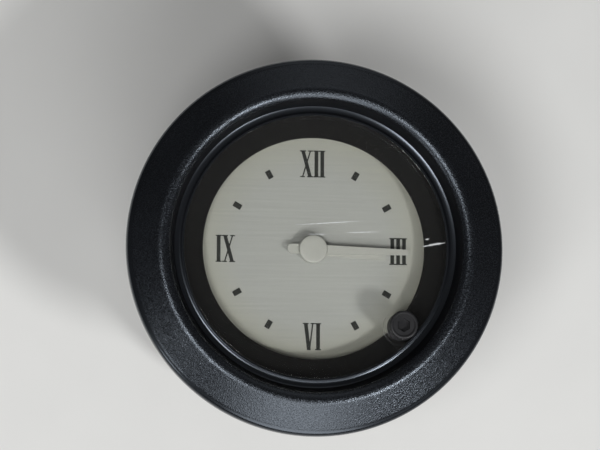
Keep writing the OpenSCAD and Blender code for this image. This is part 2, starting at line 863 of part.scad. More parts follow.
// Wheel i of the train with its pinion, on an arbor with a pivot in each plate
module train_wheel(i) {
  color("#e3ddcb") at([train_at(i)]) {
    difference() {
      gear(train_teeth[i], train_m, train_angle(i), level_z(i), wheel_t);
      wheel_holes(train_teeth[i] * train_m / 2, level_z(i));
    }
    gear(leaf_teeth, train_m, train_angle(i), level_z(i) + wheel_t - leaf_sink,
      level_step + leaf_over + leaf_sink);
    small_arbor();
  }
}

module small_arbor() {
  disc(small_arbor_r, back_z + 2 * face_gap, train_gap - 4 * face_gap);
  disc(pivot_r, back_under + pivot_short, train_gap + 2 * (plate_t - pivot_short));
}

module third_wheel() { train_wheel(1); }
module seconds_wheel() { train_wheel(2); }
module step_wheel() { train_wheel(3); }

module rotor() {
  color("#e3ddcb") at([rotor_at]) {
    gear(leaf_teeth, train_m, train_angle(4), level_z(3) - leaf_over, leaf_l);
    small_arbor();
  }
}

module rotor_magnet() {
  color("#3a3d42") at([rotor_at]) ring(magnet_d / 2, small_arbor_r + press_play,
    stator_z - magnet_over, lamination_t + 2 * magnet_over);
}

// Places children at both ends of the coil
module coil_ends() {
  at([for (s = stud_sides) coil_at + [0, s * post_at]]) children();
}

module stator() {
  bridge_w = 2 * (stator_hole + stator_rim);
  span = 2 * post_at + arm_w;
  arm_l = coil_at.x - rotor_at.x + arm_w / 2;
  color("#8f949a") difference() {
    union() {
      translate([rotor_at.x - bridge_w / 2, coil_at.y - span / 2, stator_z])
        cube([bridge_w, span, lamination_t]);
      for (s = stud_sides)
        translate([rotor_at.x, coil_at.y + s * post_at - arm_w / 2, stator_z])
          cube([arm_l, arm_w, lamination_t]);
    }
    at([rotor_at]) disc(stator_hole, stator_z - cut, lamination_t + 2 * cut);
    coil_ends() disc(stake_r + press_play, stator_z - cut, lamination_t + 2 * cut);
  }
}

module coil_core() {
  color("#8f949a") difference() {
    at([coil_at]) slab(core_w, 2 * post_at + arm_w, core_z, lamination_t);
    coil_ends() disc(stake_r + press_play, core_z - cut, lamination_t + 2 * cut);
  }
}

// Turns children's axis from Z to the coil's axis
module along_coil() {
  translate([coil_at.x, coil_at.y, core_axis]) rotate([90, 0, 0]) children();
}

coil_barrel_wall = 0.5;
coil_barrel = core_w / 2 + coil_barrel_wall;
winding_step = 0.2;

module coil_bobbin() {
  color("#d8d2bd") difference() {
    along_coil() {
      disc(coil_barrel, -coil_half, 2 * coil_half);
      for (z = [-coil_half, coil_l / 2]) disc(coil_r, z, coil_flange_t);
    }
    at([coil_at]) slab(core_w + 2 * press_play, 2 * coil_half + 2 * cut,
      core_z - press_play, lamination_t + 2 * press_play);
  }
}

module coil_winding() {
  color("#a4592b") along_coil()
    ring(coil_r - winding_step, coil_barrel + press_play, press_play - coil_l / 2, coil_l - 2 * press_play);
}

// Frame: two plates on pillars, with the board screwed on behind
module front_plate() {
  color("#d5d6d2") difference() {
    union() {
      disc(plate_r, ledge_z, plate_t);
      ring(flange_r, rim_in, front_z, motion_gap);
      at(peg_places) disc(peg_r, front_z, motion_gap + dial_t + peg_over);
    }
    disc(arbor_r + centre_bush_wall + press_play, ledge_z - cut, plate_t + 2 * cut);
    at([knob_at]) disc(stem_r + bush_wall + press_play, ledge_z - cut, plate_t + 2 * cut);
    at([works_at]) disc(post_r + press_play, ledge_z - cut, plate_t + 2 * cut);
    at([for (i = [1:4]) train_at(i)]) disc(pivot_r + run_play / 2, ledge_z - cut, plate_t + 2 * cut);
    at(pillar_places) disc(spigot_r + press_play, ledge_z - cut, plate_t + 2 * cut);
    at([lamp_at]) disc(lamp_r + lamp_port, ledge_z - cut, plate_t + 2 * cut);
    translate([-key_w / 2 - drop_play, -plate_r - cut, ledge_z - cut])
      cube([key_w + 2 * drop_play, key_d + cut, plate_t + 2 * cut]);
  }
}

module back_plate() {
  color("#d5d6d2") difference() {
    union() {
      disc(back_r, back_under, plate_t);
      coil_ends() disc(arm_w / 2 - boss_step, back_z, stator_z - back_z);
      coil_ends() disc(stake_r, back_z, core_z + lamination_t + stake_over - back_z);
    }
    disc(pivot_r + run_play / 2, back_under - cut, plate_t + 2 * cut);
    at([knob_at]) disc(pin_r + run_play, back_under - cut, plate_t + 2 * cut);
    at([for (i = [1:4]) train_at(i)]) disc(pivot_r + run_play / 2, back_under - cut, plate_t + 2 * cut);
    at(pillar_places) disc(screw_r + drop_play, back_under - cut, plate_t + 2 * cut);
    at([lamp_at]) disc(lamp_r + lamp_port, back_under - cut, plate_t + 2 * cut);
  }
}

module plate_pillars() {
  color("#c9a24a") at(pillar_places) difference() {
    union() {
      disc(pillar_r, back_z, train_gap);
      disc(spigot_r, ledge_z, plate_t - spigot_short);
    }
    disc(screw_r + press_play, back_z - cut, screw_reach + cut);
  }
}

module board_spacers() {
  color("#e3ddcb") at(pillar_places)
    ring(pillar_r, screw_r + drop_play, board_z, board_gap);
}

module frame_screws() {
  color("#b9bcc0") at(pillar_places) difference() {
    union() {
      disc(screw_head_r, board_under - screw_head_h, screw_head_h);
      disc(screw_r, board_under, back_z + screw_reach - screw_short - board_under);
    }
    slab(2 * screw_head_r + cut, screw_slot_w, board_under - screw_head_h - cut, cut + screw_slot_h);
  }
}

// Circuit board and what is soldered on its rear face
lamp_clear = lamp_r + 1;
mouth_half = lamp_clear - 0.8;
chip_at = [6, -2];
crystal_at = [-5, -3];
capacitor_at = [3, -12];
resistor_at = [-7, 2.4];
resistor_step = 2.6;

module circuit_board() {
  color("#3f6b45") difference() {
    disc(board_r, board_under, board_t);
    at(pillar_places) disc(screw_r + drop_play, board_under - cut, board_t + 2 * cut);
    at([lamp_at]) {
      disc(lamp_clear, board_under - cut, board_t + 2 * cut);
      rotate(lamp_a) translate([0, -mouth_half, board_under - cut])
        cube([board_r, 2 * mouth_half, board_t + 2 * cut]);
    }
    at(blade_places)
      slab(blade_tail_w + 2 * drop_play, blade_t + 2 * drop_play, board_under - cut, board_t + 2 * cut);
  }
}

module clock_chip() {
  body = [9.4, 6.2, 2.6];
  leg = [0.5, 0.9, 1.7];
  leg_step = 2.3;
  leg_sink = 0.1;
  stand = 0.4;
  color("#26282b") at([chip_at]) {
    slab(body.x, body.y, board_under - stand - body.z, body.z);
    for (i = [0:3], s = stud_sides)
      translate([(i - 1.5) * leg_step, s * ((body.y + leg.y) / 2 - leg_sink), 0])
        slab(leg.x, leg.y, board_under - leg.z, leg.z);
  }
}

// A block with round ends, w between their centres and d deep, hanging from the board
module round_ended(w, d, h) {
  translate([0, 0, board_under - h]) linear_extrude(h) {
    square([w, d], center = true);
    for (s = stud_sides) translate([s * w / 2, 0]) circle(d = d);
  }
}

module quartz_crystal() {
  can = [6.2, 4.4, 3.6];
  brim_w = 0.3;
  brim_h = 0.4;
  color("#c2c5c8") at([crystal_at]) {
    round_ended(can.x, can.y, can.z);
    round_ended(can.x, can.y + 2 * brim_w, brim_h);
  }
}

module smoothing_capacitor() {
  can_r = 2.5;
  can_h = 6.2;
  crimp_z = board_under - 1.4;
  crimp_r = 0.4;
  crimp_out = 0.15;
  color("#2f3f63") at([capacitor_at]) difference() {
    disc(can_r, board_under - can_h, can_h);
    translate([0, 0, crimp_z]) rotate_extrude() translate([can_r + crimp_out, 0]) circle(r = crimp_r);
  }
}

module resistors() {
  body_r = 1;
  body_l = 5.6;
  lead_r = 0.3;
  span = 8;
  axis_z = board_under - body_r - lead_r;
  color("#c79d6a") at([for (i = [0:2]) resistor_at + [0, i * resistor_step]]) {
    translate([-body_l / 2, 0, axis_z]) rotate([0, 90, 0]) cylinder(r = body_r, h = body_l);
    translate([-span / 2, 0, axis_z]) rotate([0, 90, 0]) cylinder(r = lead_r, h = span);
    for (s = stud_sides) translate([s * span / 2, 0, 0]) disc(lead_r, axis_z, board_under - axis_z);
  }
}

// Case: a cup with a ledge for the movement, windows for the snap lugs and fittings in its floor
module case() {
  color("#1c1d20") difference() {
    union() {
      difference() {
        rotate_extrude() polygon([[0, rear_z], [case_r - rear_chamfer, rear_z],
          [case_r, rear_z + rear_chamfer], [case_r, 0], [mouth_r, 0], [mouth_r, ledge_z],
          [bore_r, ledge_z], [bore_r, floor_z], [0, floor_z]]);
        for (i = [0:lug_count - 1])
          lug_arc(i, window_sweep, [[mouth_r - cut, -lug_drop - lug_h - drop_play],
            [case_r + cut, -lug_drop - lug_h - drop_play], [case_r + cut, drop_play - lug_drop],
            [mouth_r - cut, drop_play - lug_drop]]);
      }
      translate([-key_w / 2, drop_play - plate_r, ledge_z])
        difference() {
          translate([0, -case_wall, 0]) cube([key_w, key_d - 2 * drop_play + case_wall, plate_t]);
          translate([-cut, -case_wall - 2 * cut, -cut]) cube([key_w + 2 * cut, 2 * cut, plate_t + 2 * cut]);
        }
      stud_places() disc(stud_boss_r, floor_z, stud_head_h);
    }
    stud_places() {
      disc(stud_r + drop_play, rear_z - cut, floor_t + 2 * cut);
      translate([0, 0, floor_z]) cylinder(r = stud_head_r + drop_play, h = stud_head_h + cut, $fn = 6);
    }
    at(blade_places)
      slab(blade_w + 2 * drop_play, blade_t + 2 * drop_play, rear_z - cut, floor_t + 2 * cut);
    at([lamp_at]) {
      disc(holder_r + drop_play, rear_z - cut, floor_t + 2 * cut);
      rotate(lamp_a + 90) slab(2 * (holder_r + bayonet_out) + 4 * drop_play, bayonet_w + 4 * drop_play,
        rear_z - cut, floor_t + 2 * cut);
    }
  }
}

// Blades: ears on the floor, a tail soldered in the board and a tab behind the case
module terminal_blades() {
  tail_top = board_z + blade_tail_over;
  color("#c7a95a") at(blade_places) {
    slab(blade_w, blade_t, rear_z - blade_l, blade_l + floor_t + blade_ear_h);
    slab(blade_w + 2 * blade_ear, blade_t, floor_z, blade_ear_h);
    slab(blade_tail_w, blade_t, floor_z, tail_top - floor_z);
  }
}

module lamp_holder() {
  color("#2a2b2e") at([lamp_at]) rotate(lamp_a) difference() {
    union() {
      disc(holder_r, rear_z, holder_top - rear_z);
      disc(holder_flange_r, rear_z - holder_flange_h, holder_flange_h);
      slab(2 * (holder_r + bayonet_out), bayonet_w, floor_z, bayonet_h);
      slab(2 * holder_flange_r - grip_short, grip_w, rear_z - holder_flange_h - grip_h, grip_h);
    }
    disc(lamp_r + run_play, lamp_seat, holder_top - lamp_seat + cut);
  }
}

module lamp() {
  color("#e8eef0", 0.5) at([lamp_at]) {
    disc(lamp_r, lamp_seat, lamp_top - lamp_r - lamp_seat);
    translate([0, 0, lamp_top - lamp_r]) sphere(r = lamp_r);
  }
}

// Rear studs with their washers and nuts
module stud_places() {
  at([for (s = stud_sides) [s * stud_circle / 2, 0]]) children();
}

module mounting_studs() {
  tip = 0.4;
  color("#b9bcc0") stud_places() {
    translate([0, 0, floor_z]) cylinder(r = stud_head_r, h = stud_head_h, $fn = 6);
    disc(stud_r, rear_z - stud_l + tip, floor_z - rear_z + stud_l - tip);
    translate([0, 0, rear_z - stud_l]) cylinder(r1 = stud_r - tip, r2 = stud_r, h = tip);
  }
}

module stud_washers() {
  color("#a9acb0") stud_places() ring(washer_r, stud_r + drop_play, rear_z - washer_t, washer_t);
}

module stud_nuts() {
  nut_z = rear_z - washer_t - nut_h;
  color("#b9bcc0") stud_places() difference() {
    translate([0, 0, nut_z]) cylinder(r = nut_r, h = nut_h, $fn = 6);
    disc(stud_r + press_play, nut_z - cut, nut_h + 2 * cut);
  }
}

bezel();
lens();
lens_seal();
dial_shroud();
dial_plate();
dial_markings();
hour_hand();
minute_hand();
hub_cap();
setting_knob();
setting_stem();
setting_pinion();
stem_bush();
stem_washer();
setting_spring();
cannon_pinion();
minute_wheel();
minute_wheel_post();
minute_wheel_clip();
hour_wheel();
centre_bush();
centre_arbor();
centre_wheel();
clutch_spring();
clutch_collar();
third_wheel();
seconds_wheel();
step_wheel();
rotor();
rotor_magnet();
stator();
coil_core();
coil_bobbin();
coil_winding();
front_plate();
back_plate();
plate_pillars();
board_spacers();
frame_screws();
circuit_board();
clock_chip();
quartz_crystal();
smoothing_capacitor();
resistors();
case();
terminal_blades();
lamp_holder();
lamp();
mounting_studs();
stud_washers();
stud_nuts();
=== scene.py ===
"""Looks of the car dashboard clock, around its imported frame.

Sizes are in millimetres and angles in degrees, as in the part's source. The dial faces up the Z axis, the XII
is towards Y, and height 0 is the face of the panel.
"""

import math

import bpy
from mathutils import Matrix, Vector


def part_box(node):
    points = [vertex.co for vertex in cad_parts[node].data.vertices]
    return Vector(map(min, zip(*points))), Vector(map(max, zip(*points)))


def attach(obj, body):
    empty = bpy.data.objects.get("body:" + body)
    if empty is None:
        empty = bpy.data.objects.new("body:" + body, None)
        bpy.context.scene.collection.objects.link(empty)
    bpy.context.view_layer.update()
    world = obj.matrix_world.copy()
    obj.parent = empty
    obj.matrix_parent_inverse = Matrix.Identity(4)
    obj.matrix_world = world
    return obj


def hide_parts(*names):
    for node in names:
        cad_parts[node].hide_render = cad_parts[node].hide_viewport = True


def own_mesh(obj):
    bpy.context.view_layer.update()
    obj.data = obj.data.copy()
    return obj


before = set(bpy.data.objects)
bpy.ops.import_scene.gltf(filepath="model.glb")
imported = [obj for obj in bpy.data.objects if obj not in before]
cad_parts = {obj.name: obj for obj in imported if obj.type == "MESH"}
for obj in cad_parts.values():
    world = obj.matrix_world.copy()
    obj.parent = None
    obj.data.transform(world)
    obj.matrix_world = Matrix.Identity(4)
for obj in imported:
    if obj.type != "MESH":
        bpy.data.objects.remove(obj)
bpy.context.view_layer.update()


def polar(reach, angle):
    """The (x, y) place at a distance from the axis."""
    return reach * math.cos(math.radians(angle)), reach * math.sin(math.radians(angle))


MM = 0.001
MERGE = MM / 1000
ROUND_STEPS = 240
SMALL_STEPS = 96
HELIX_STEPS = 32
CORNER_STEPS = 6
LUG_STEPS = 10
EASED_ANGLE = 40
SMOOTH_ANGLE = 32
# A six-sided rod has a corner on Y in Blender, and on X in the part's source
HEX_TURN = 30

# Case
CASE_R = 26.0
MOUTH_R = 24.4
BORE_R = 23.2
LEDGE_Z = -9.0
FLOOR_Z = -28.0
REAR_Z = -30.0

# Bezel
BEZEL_R = 31.0
SEAT_R = 26.2
SKIRT_R = 24.3
SKIRT_IN = 23.3
LIP_R = 22.22
LIP_UNDER = 0.4
LUG_LOW = -2.9
LUG_HIGH = -2.0
LUG_SWEEP = 11.8
LUG_ANGLES = (45, 135, 225, 315)

# Lens, with the tube that the knob goes down into
FLANGE_R = 23.1
LENS_R = 22.15
PANE_R = 21.6
PANE_STEP = 1.4
LENS_TOP = 1.9
TUBE_R = 2.9
TUBE_BORE = 2.55

# Setting knob and hub
KNOB_ANGLE = -42.0
KNOB_REACH = 19.2
KNOB_AT = polar(KNOB_REACH, KNOB_ANGLE)
KNOB_R = 2.35
KNOB_TOP = 4.2
HUB_R = 2.33

# Rear fittings
STUD_X = 16.0
STUD_PLACES = ((-STUD_X, 0, 0), (STUD_X, 0, 0))
STUD_R = 2.0
STUD_END = -42.0
WASHER_LOW = REAR_Z - 0.8
BLADE_X = (-8.0, 0.0, 8.0)
BLADE_Y = 12.0
LAMP_ANGLE = 225.0
LAMP_REACH = 16.8
LAMP_AT = polar(LAMP_REACH, LAMP_ANGLE)


# Modelling, as by hand

def edit():
    bpy.ops.object.mode_set(mode="EDIT")
    bpy.ops.mesh.select_all(action="SELECT")


def leave():
    bpy.ops.object.mode_set(mode="OBJECT")


def hold(piece):
    """Makes a piece the only one selected, and the active one."""
    bpy.ops.object.select_all(action="DESELECT")
    piece.select_set(True)
    bpy.context.view_layer.objects.active = piece


def settle():
    """Puts the place, turn and scale of what is selected into its mesh."""
    bpy.ops.object.transform_apply(location=True, rotation=True, scale=True)


def softened(outline):
    """Rounds the corners of a closed outline of (x, y) or (x, y, radius) points."""
    points = []
    for i, corner in enumerate(outline):
        here = Vector(corner[:2])
        radius = corner[2] if len(corner) > 2 else 0
        if not radius:
            points.append(here)
            continue
        back = (Vector(outline[i - 1][:2]) - here).normalized()
        on = (Vector(outline[(i + 1) % len(outline)][:2]) - here).normalized()
        half = back.angle(on) / 2
        centre = here + (back + on).normalized() * radius / math.sin(half)
        start = here + back * radius / math.tan(half) - centre
        end = here + on * radius / math.tan(half) - centre
        sweep = start.angle_signed(end)
        for k in range(CORNER_STEPS + 1):
            points.append(centre + Matrix.Rotation(-sweep * k / CORNER_STEPS, 2) @ start)
    return points


def drawn(points):
    """Draws a line through points by pulling one vertex along, and stays in edit mode."""
    bpy.ops.object.select_all(action="DESELECT")
    bpy.ops.mesh.primitive_plane_add(size=MM)
    piece = bpy.context.object
    edit()
    bpy.ops.mesh.merge(type="CENTER")
    here = Vector((0, 0, 0))
    for i, point in enumerate(points):
        step = Vector(point) * MM - here
        if i == 0:
            bpy.ops.transform.translate(value=step)
        else:
            bpy.ops.mesh.extrude_vertices_move(TRANSFORM_OT_translate={"value": step})
        here += step
    bpy.ops.mesh.select_all(action="SELECT")
    bpy.ops.mesh.remove_doubles(threshold=MERGE)
    return piece


def closed_up():
    """Merges what meets, turns the faces outwards and leaves edit mode."""
    bpy.ops.mesh.select_all(action="SELECT")
    bpy.ops.mesh.remove_doubles(threshold=MERGE)
    bpy.ops.mesh.normals_make_consistent(inside=False)
    leave()


def turned(outline, at=(0, 0), steps=ROUND_STEPS):
    """A round piece, turned from an outline of (radius, height) points about an upright axis."""
    points = softened(outline)
    line = [(at[0] + p.x, at[1], p.y) for p in points]
    if min(p.x for p in points) > 0:
        line.append(line[0])
    piece = drawn(line)
    centre = (at[0] * MM, at[1] * MM, 0)
    bpy.ops.mesh.spin(steps=steps, angle=math.tau, center=centre, axis=(0, 0, 1))
    closed_up()
    return piece


def swept(outline, angle, sweep):
    """An outline of (radius, height) points swept through part of a turn, with its middle at an angle."""
    piece = drawn([(x, 0, z) for x, z in [*outline, outline[0]]])
    bpy.ops.mesh.edge_face_add()
    bpy.ops.mesh.spin(steps=LUG_STEPS, angle=math.radians(sweep), center=(0, 0, 0), axis=(0, 0, 1))
    closed_up()
    points = piece.data.vertices
    middle = sum(math.atan2(point.co.y, point.co.x) for point in points) / len(points)
    piece.rotation_euler.z = math.radians(angle) - middle
    settle()
    return piece


def plate(outline, z, height):
    """A flat piece, cut to an outline of (x, y) points and given its thickness."""
    points = [(p.x, p.y, z) for p in softened(outline)]
    piece = drawn([*points, points[0]])
    bpy.ops.mesh.edge_face_add()
    bpy.ops.mesh.extrude_region_move(TRANSFORM_OT_translate={"value": (0, 0, height * MM)})
    closed_up()
    return piece


def rod(radius, z, height, at=(0, 0), sides=SMALL_STEPS, turn=0.0):
    """An upright rod that starts at a height."""
    bpy.ops.object.select_all(action="DESELECT")
    place = (at[0] * MM, at[1] * MM, (z + height / 2) * MM)
    bpy.ops.mesh.primitive_cylinder_add(vertices=sides, radius=radius * MM, depth=height * MM, location=place)
    bpy.context.object.rotation_euler.z = math.radians(turn)
    settle()
    return bpy.context.object


def block(size, centre, turn=0.0):
    bpy.ops.object.select_all(action="DESELECT")
    bpy.ops.mesh.primitive_cube_add(size=1, location=Vector(centre) * MM)
    bpy.context.object.scale = Vector(size) * MM
    bpy.context.object.rotation_euler.z = math.radians(turn)
    settle()
    return bpy.context.object


def applied(piece, kind, **settings):
    """Adds a modifier to a piece and applies it. The piece is then the only one selected."""
    hold(piece)
    modifier = piece.modifiers.new(kind.lower(), kind)
    for key, value in settings.items():
        setattr(modifier, key, value)
    bpy.ops.object.modifier_apply(modifier=modifier.name)
    return piece


def combined(piece, others, operation):
    for other in others:
        applied(piece, "BOOLEAN", operation=operation, solver="EXACT", object=other)
        bpy.data.objects.remove(other)
    return piece


def joined(piece, *others):
    """Makes one solid of pieces that overlap."""
    return combined(piece, others, "UNION")


def cut(piece, *cutters):
    """Takes the cutters out of a piece."""
    return combined(piece, cutters, "DIFFERENCE")


def trimmed(piece, shape):
    """Keeps what lies inside a shape."""
    return combined(piece, [shape], "INTERSECT")


def eased(piece, width, segments=2):
    """Rounds the sharp edges of a piece."""
    return applied(piece, "BEVEL", width=width * MM, segments=segments, limit_method="ANGLE",
                   angle_limit=math.radians(EASED_ANGLE), use_clamp_overlap=True)


def copies(piece, offsets):
    """One object of a piece and its copies, each with its own mesh, moved by the offsets."""
    made = []
    for offset in offsets:
        copy = piece.copy()
        copy.data = piece.data.copy()
        bpy.context.scene.collection.objects.link(copy)
        copy.location = Vector(offset) * MM
        made.append(copy)
    bpy.data.objects.remove(piece)
    bpy.ops.object.select_all(action="DESELECT")
    for copy in made:
        copy.select_set(True)
    bpy.context.view_layer.objects.active = made[0]
    settle()
    bpy.ops.object.join()
    return made[0]


def heights(cad_node):
    """A CAD node's lowest height, and how thick it is."""
    low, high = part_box(cad_node)
    return low.z / MM, (high.z - low.z) / MM


def placed(piece, name, cad_node, body, slot):
    """Smooths a finished piece, gives it its slot's finish, and puts it in the place of a CAD node."""
    hold(piece)
    edit()
    bpy.ops.mesh.remove_doubles(threshold=MERGE / 2)
    bpy.ops.mesh.delete_loose()
    bpy.ops.mesh.select_all(action="SELECT")
    bpy.ops.mesh.normals_make_consistent(inside=False)
    leave()
    bpy.ops.object.shade_smooth_by_angle(angle=math.radians(SMOOTH_ANGLE))
    applied(piece, "WEIGHTED_NORMAL", mode="FACE_AREA", keep_sharp=True)
    piece.name = name
    piece.data.materials.clear()
    piece.data.materials.append(FINISHES[slot])
    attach(piece, body)
    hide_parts(cad_node)
    return piece


# Materials

VECTOR = "NodeSocketVector"
FLOAT = "NodeSocketFloat"
# The values between which most of a noise lies, and a narrower pair that gives more contrast
NOISE_SPAN = (0.3, 0.7)
NOISE_CORE = (0.35, 0.65)


def colour(code):
    """A colour written as #rrggbb, in the linear values that the shaders use."""
    parts = [int(code[i:i + 2], 16) / 255 for i in (1, 3, 5)]
    linear = [p / 12.92 if p <= 0.04045 else ((p + 0.055) / 1.055) ** 2.4 for p in parts]
    return (*linear, 1.0)


def feed(tree, socket, value):
    """Gives an input socket a value, or links it to the output socket that feeds it."""
    if isinstance(value, bpy.types.NodeSocket):
        tree.links.new(value, socket)
    else:
        socket.default_value = value


def node(tree, kind, inputs=None, **settings):
    """Adds a node, with its settings and with what goes into its inputs."""
    made = tree.nodes.new(kind)
    for key, value in settings.items():
        setattr(made, key, value)
    for key, value in (inputs or {}).items():
        feed(tree, made.inputs[key], value)
    return made


def sums(tree, operation, a, b, clamp=False):
    return node(tree, "ShaderNodeMath", {0: a, 1: b}, operation=operation, use_clamp=clamp).outputs[0]


def ranged(tree, value, low, high, to_low=0.0, to_high=1.0):
    """Maps a value from one range to another, and holds it inside that."""
    inputs = {"Value": value, "From Min": low, "From Max": high, "To Min": to_low, "To Max": to_high}
    return node(tree, "ShaderNodeMapRange", inputs).outputs["Result"]


def mixed(tree, share, a, b):
    """A colour between two others."""
    made = node(tree, "ShaderNodeMix", data_type="RGBA")
    for socket, value in ((made.inputs[0], share), (made.inputs[6], a), (made.inputs[7], b)):
        feed(tree, socket, value)
    return made.outputs[2]


def noise(tree, place, scale, detail):
    return node(tree, "ShaderNodeTexNoise", {"Vector": place, "Scale": scale, "Detail": detail}).outputs[0]


def new_group(name, inputs, outputs):
    """A node group with its sockets. Returns the group, what is given to it, and what it puts out."""
    tree = bpy.data.node_groups.new(name, "ShaderNodeTree")
    for label, kind in inputs.items():
        tree.interface.new_socket(label, in_out="INPUT", socket_type=kind)
    for label in outputs:
        tree.interface.new_socket(label, in_out="OUTPUT", socket_type=FLOAT)
    return tree, tree.nodes.new("NodeGroupInput").outputs, tree.nodes.new("NodeGroupOutput").inputs


def moulded_grain():
    """Fine leather grain of a moulded face: a height, and a share that tells its pits from its tops."""
    tree, given, out = new_group("moulded_grain", {"Vector": VECTOR, "Scale": FLOAT}, ("Height", "Tops"))
    height = noise(tree, given["Vector"], given["Scale"], 1.0)
    feed(tree, out["Height"], height)
    feed(tree, out["Tops"], ranged(tree, height, *NOISE_CORE))
    return tree


def uneven_surface():
    """Slow changes of tone and fine speckle over a surface, and a height for its smallest marks."""
    inputs = {"Vector": VECTOR, "Scale": FLOAT}
    tree, given, out = new_group("uneven_surface", inputs, ("Cloud", "Speck", "Height"))
    speck_scale = sums(tree, "MULTIPLY", given["Scale"], 18.0)
    cloud = noise(tree, given["Vector"], given["Scale"], 4.0)
    speck = noise(tree, given["Vector"], speck_scale, 3.0)
    feed(tree, out["Cloud"], ranged(tree, cloud, *NOISE_SPAN))
    feed(tree, out["Speck"], ranged(tree, speck, *NOISE_CORE))
    feed(tree, out["Height"], speck)
    return tree


def brushed_lines():
    """Fine straight lines along the first axis, as left by brushing."""
    inputs = {"Vector": VECTOR, "Lines": FLOAT, "Length": FLOAT}
    tree, given, out = new_group("brushed_lines", inputs, ("Streak",))
    along = sums(tree, "DIVIDE", given["Lines"], given["Length"])
    scale = node(tree, "ShaderNodeCombineXYZ", {"X": along, "Y": given["Lines"], "Z": 0.0}).outputs[0]
    stretched = node(tree, "ShaderNodeVectorMath", {0: given["Vector"], 1: scale}, operation="MULTIPLY")
    lines = noise(tree, stretched.outputs[0], 1.0, 3.0)
    feed(tree, out["Streak"], ranged(tree, lines, *NOISE_SPAN))
    return tree


def scratch_mark():
    """A single ragged scratch between two points of the lens, narrower at its ends."""
    inputs = {"Vector": VECTOR, "Start": VECTOR, "End": VECTOR, "Width": FLOAT}
    tree, given, out = new_group("scratch_mark", inputs, ("Mask",))

    def vector(operation, a, b):
        return node(tree, "ShaderNodeVectorMath", {0: a, 1: b}, operation=operation)

    flat = vector("MULTIPLY", given["Vector"], (1, 1, 0)).outputs[0]
    along = vector("SUBTRACT", given["End"], given["Start"]).outputs[0]
    off = vector("SUBTRACT", flat, given["Start"]).outputs[0]
    share = sums(tree, "DIVIDE", vector("DOT_PRODUCT", off, along).outputs["Value"],
                 vector("DOT_PRODUCT", along, along).outputs["Value"], clamp=True)
    foot = node(tree, "ShaderNodeVectorMath", {0: along, "Scale": share}, operation="SCALE").outputs[0]
    away = vector("DISTANCE", off, foot).outputs["Value"]
    from_middle = sums(tree, "ABSOLUTE", sums(tree, "SUBTRACT", share, 0.5), 0.0)
    taper = ranged(tree, from_middle, 0.2, 0.5, 1.0, 0.25)
    rag = ranged(tree, noise(tree, flat, 1500.0, 2.0), 0.3, 0.6, 0.2, 1.2)
    reach = sums(tree, "MULTIPLY", sums(tree, "MULTIPLY", given["Width"], taper), rag)
    feed(tree, out["Mask"], sums(tree, "SUBTRACT", 1.0, sums(tree, "DIVIDE", away, reach), clamp=True))
    return tree


GRAIN = moulded_grain()
UNEVEN = uneven_surface()
BRUSHED = brushed_lines()
SCRATCH = scratch_mark()


def new_finish(name, **sockets):
    """A material with its Principled shader's own sockets set.

    Returns the material, its nodes, the shader and the place on the piece.
    """
    material = bpy.data.materials.new(name + "_finish")
    material.use_nodes = True
    tree = material.node_tree
    shader = tree.nodes["Principled BSDF"]
    for label, value in sockets.items():
        shader.inputs[label.replace("_", " ")].default_value = value
    place = tree.nodes.new("ShaderNodeTexCoord").outputs["Object"]
    return material, tree, shader, place


def grouped(tree, group, inputs):
    return node(tree, "ShaderNodeGroup", inputs, node_tree=group).outputs


def bumped(tree, shader, height, strength, depth):
    """Feeds a height to the shader's normal, with its depth in millimetres."""
    bump = node(tree, "ShaderNodeBump", {"Height": height, "Strength": strength, "Distance": depth * MM})
    feed(tree, shader.inputs["Normal"], bump.outputs[0])


def covered(tree, share, below, above):
    """Shows one shader over another, by a share."""
    return node(tree, "ShaderNodeMixShader", {0: share, 1: below.outputs[0], 2: above.outputs[0]})


def shown(tree, shader):
    """Makes a shader the one that the material shows."""
    feed(tree, tree.nodes["Material Output"].inputs["Surface"], shader.outputs[0])


def radius_of(tree, place):
    """Distance from the clock's axis, in metres."""
    flat = node(tree, "ShaderNodeVectorMath", {0: place, 1: (1, 1, 0)}, operation="MULTIPLY").outputs[0]
    return node(tree, "ShaderNodeVectorMath", {0: flat}, operation="LENGTH").outputs["Value"]


def band(tree, reach, inner, outer):
    """A mask that is 1 between two edges, each given by the two radii between which it changes."""
    rise = ranged(tree, reach, inner[0] * MM, inner[1] * MM)
    fall = ranged(tree, reach, outer[0] * MM, outer[1] * MM, 1.0, 0.0)
    return sums(tree, "MULTIPLY", rise, fall)


def plain_finish(name, light, dark, rough, scale, metallic=0.0, bump=0.15, depth=0.02, **sockets):
    """A moulded, rolled or painted surface: two close tones in clouds and specks, and an uneven gloss."""
    cloud_weight = 0.6
    speck_weight = 0.4
    gloss_change = 0.05
    material, tree, shader, place = new_finish(name, Metallic=metallic, **sockets)
    marks = grouped(tree, UNEVEN, {"Vector": place, "Scale": scale})
    share = sums(tree, "ADD", sums(tree, "MULTIPLY", marks["Cloud"], cloud_weight),
                 sums(tree, "MULTIPLY", marks["Speck"], speck_weight))
    roughness = ranged(tree, marks["Cloud"], 0.0, 1.0, rough - gloss_change, rough + gloss_change)
    feed(tree, shader.inputs["Base Color"], mixed(tree, share, colour(dark), colour(light)))
    feed(tree, shader.inputs["Roughness"], roughness)
    bumped(tree, shader, marks["Height"], bump, depth)
    return material


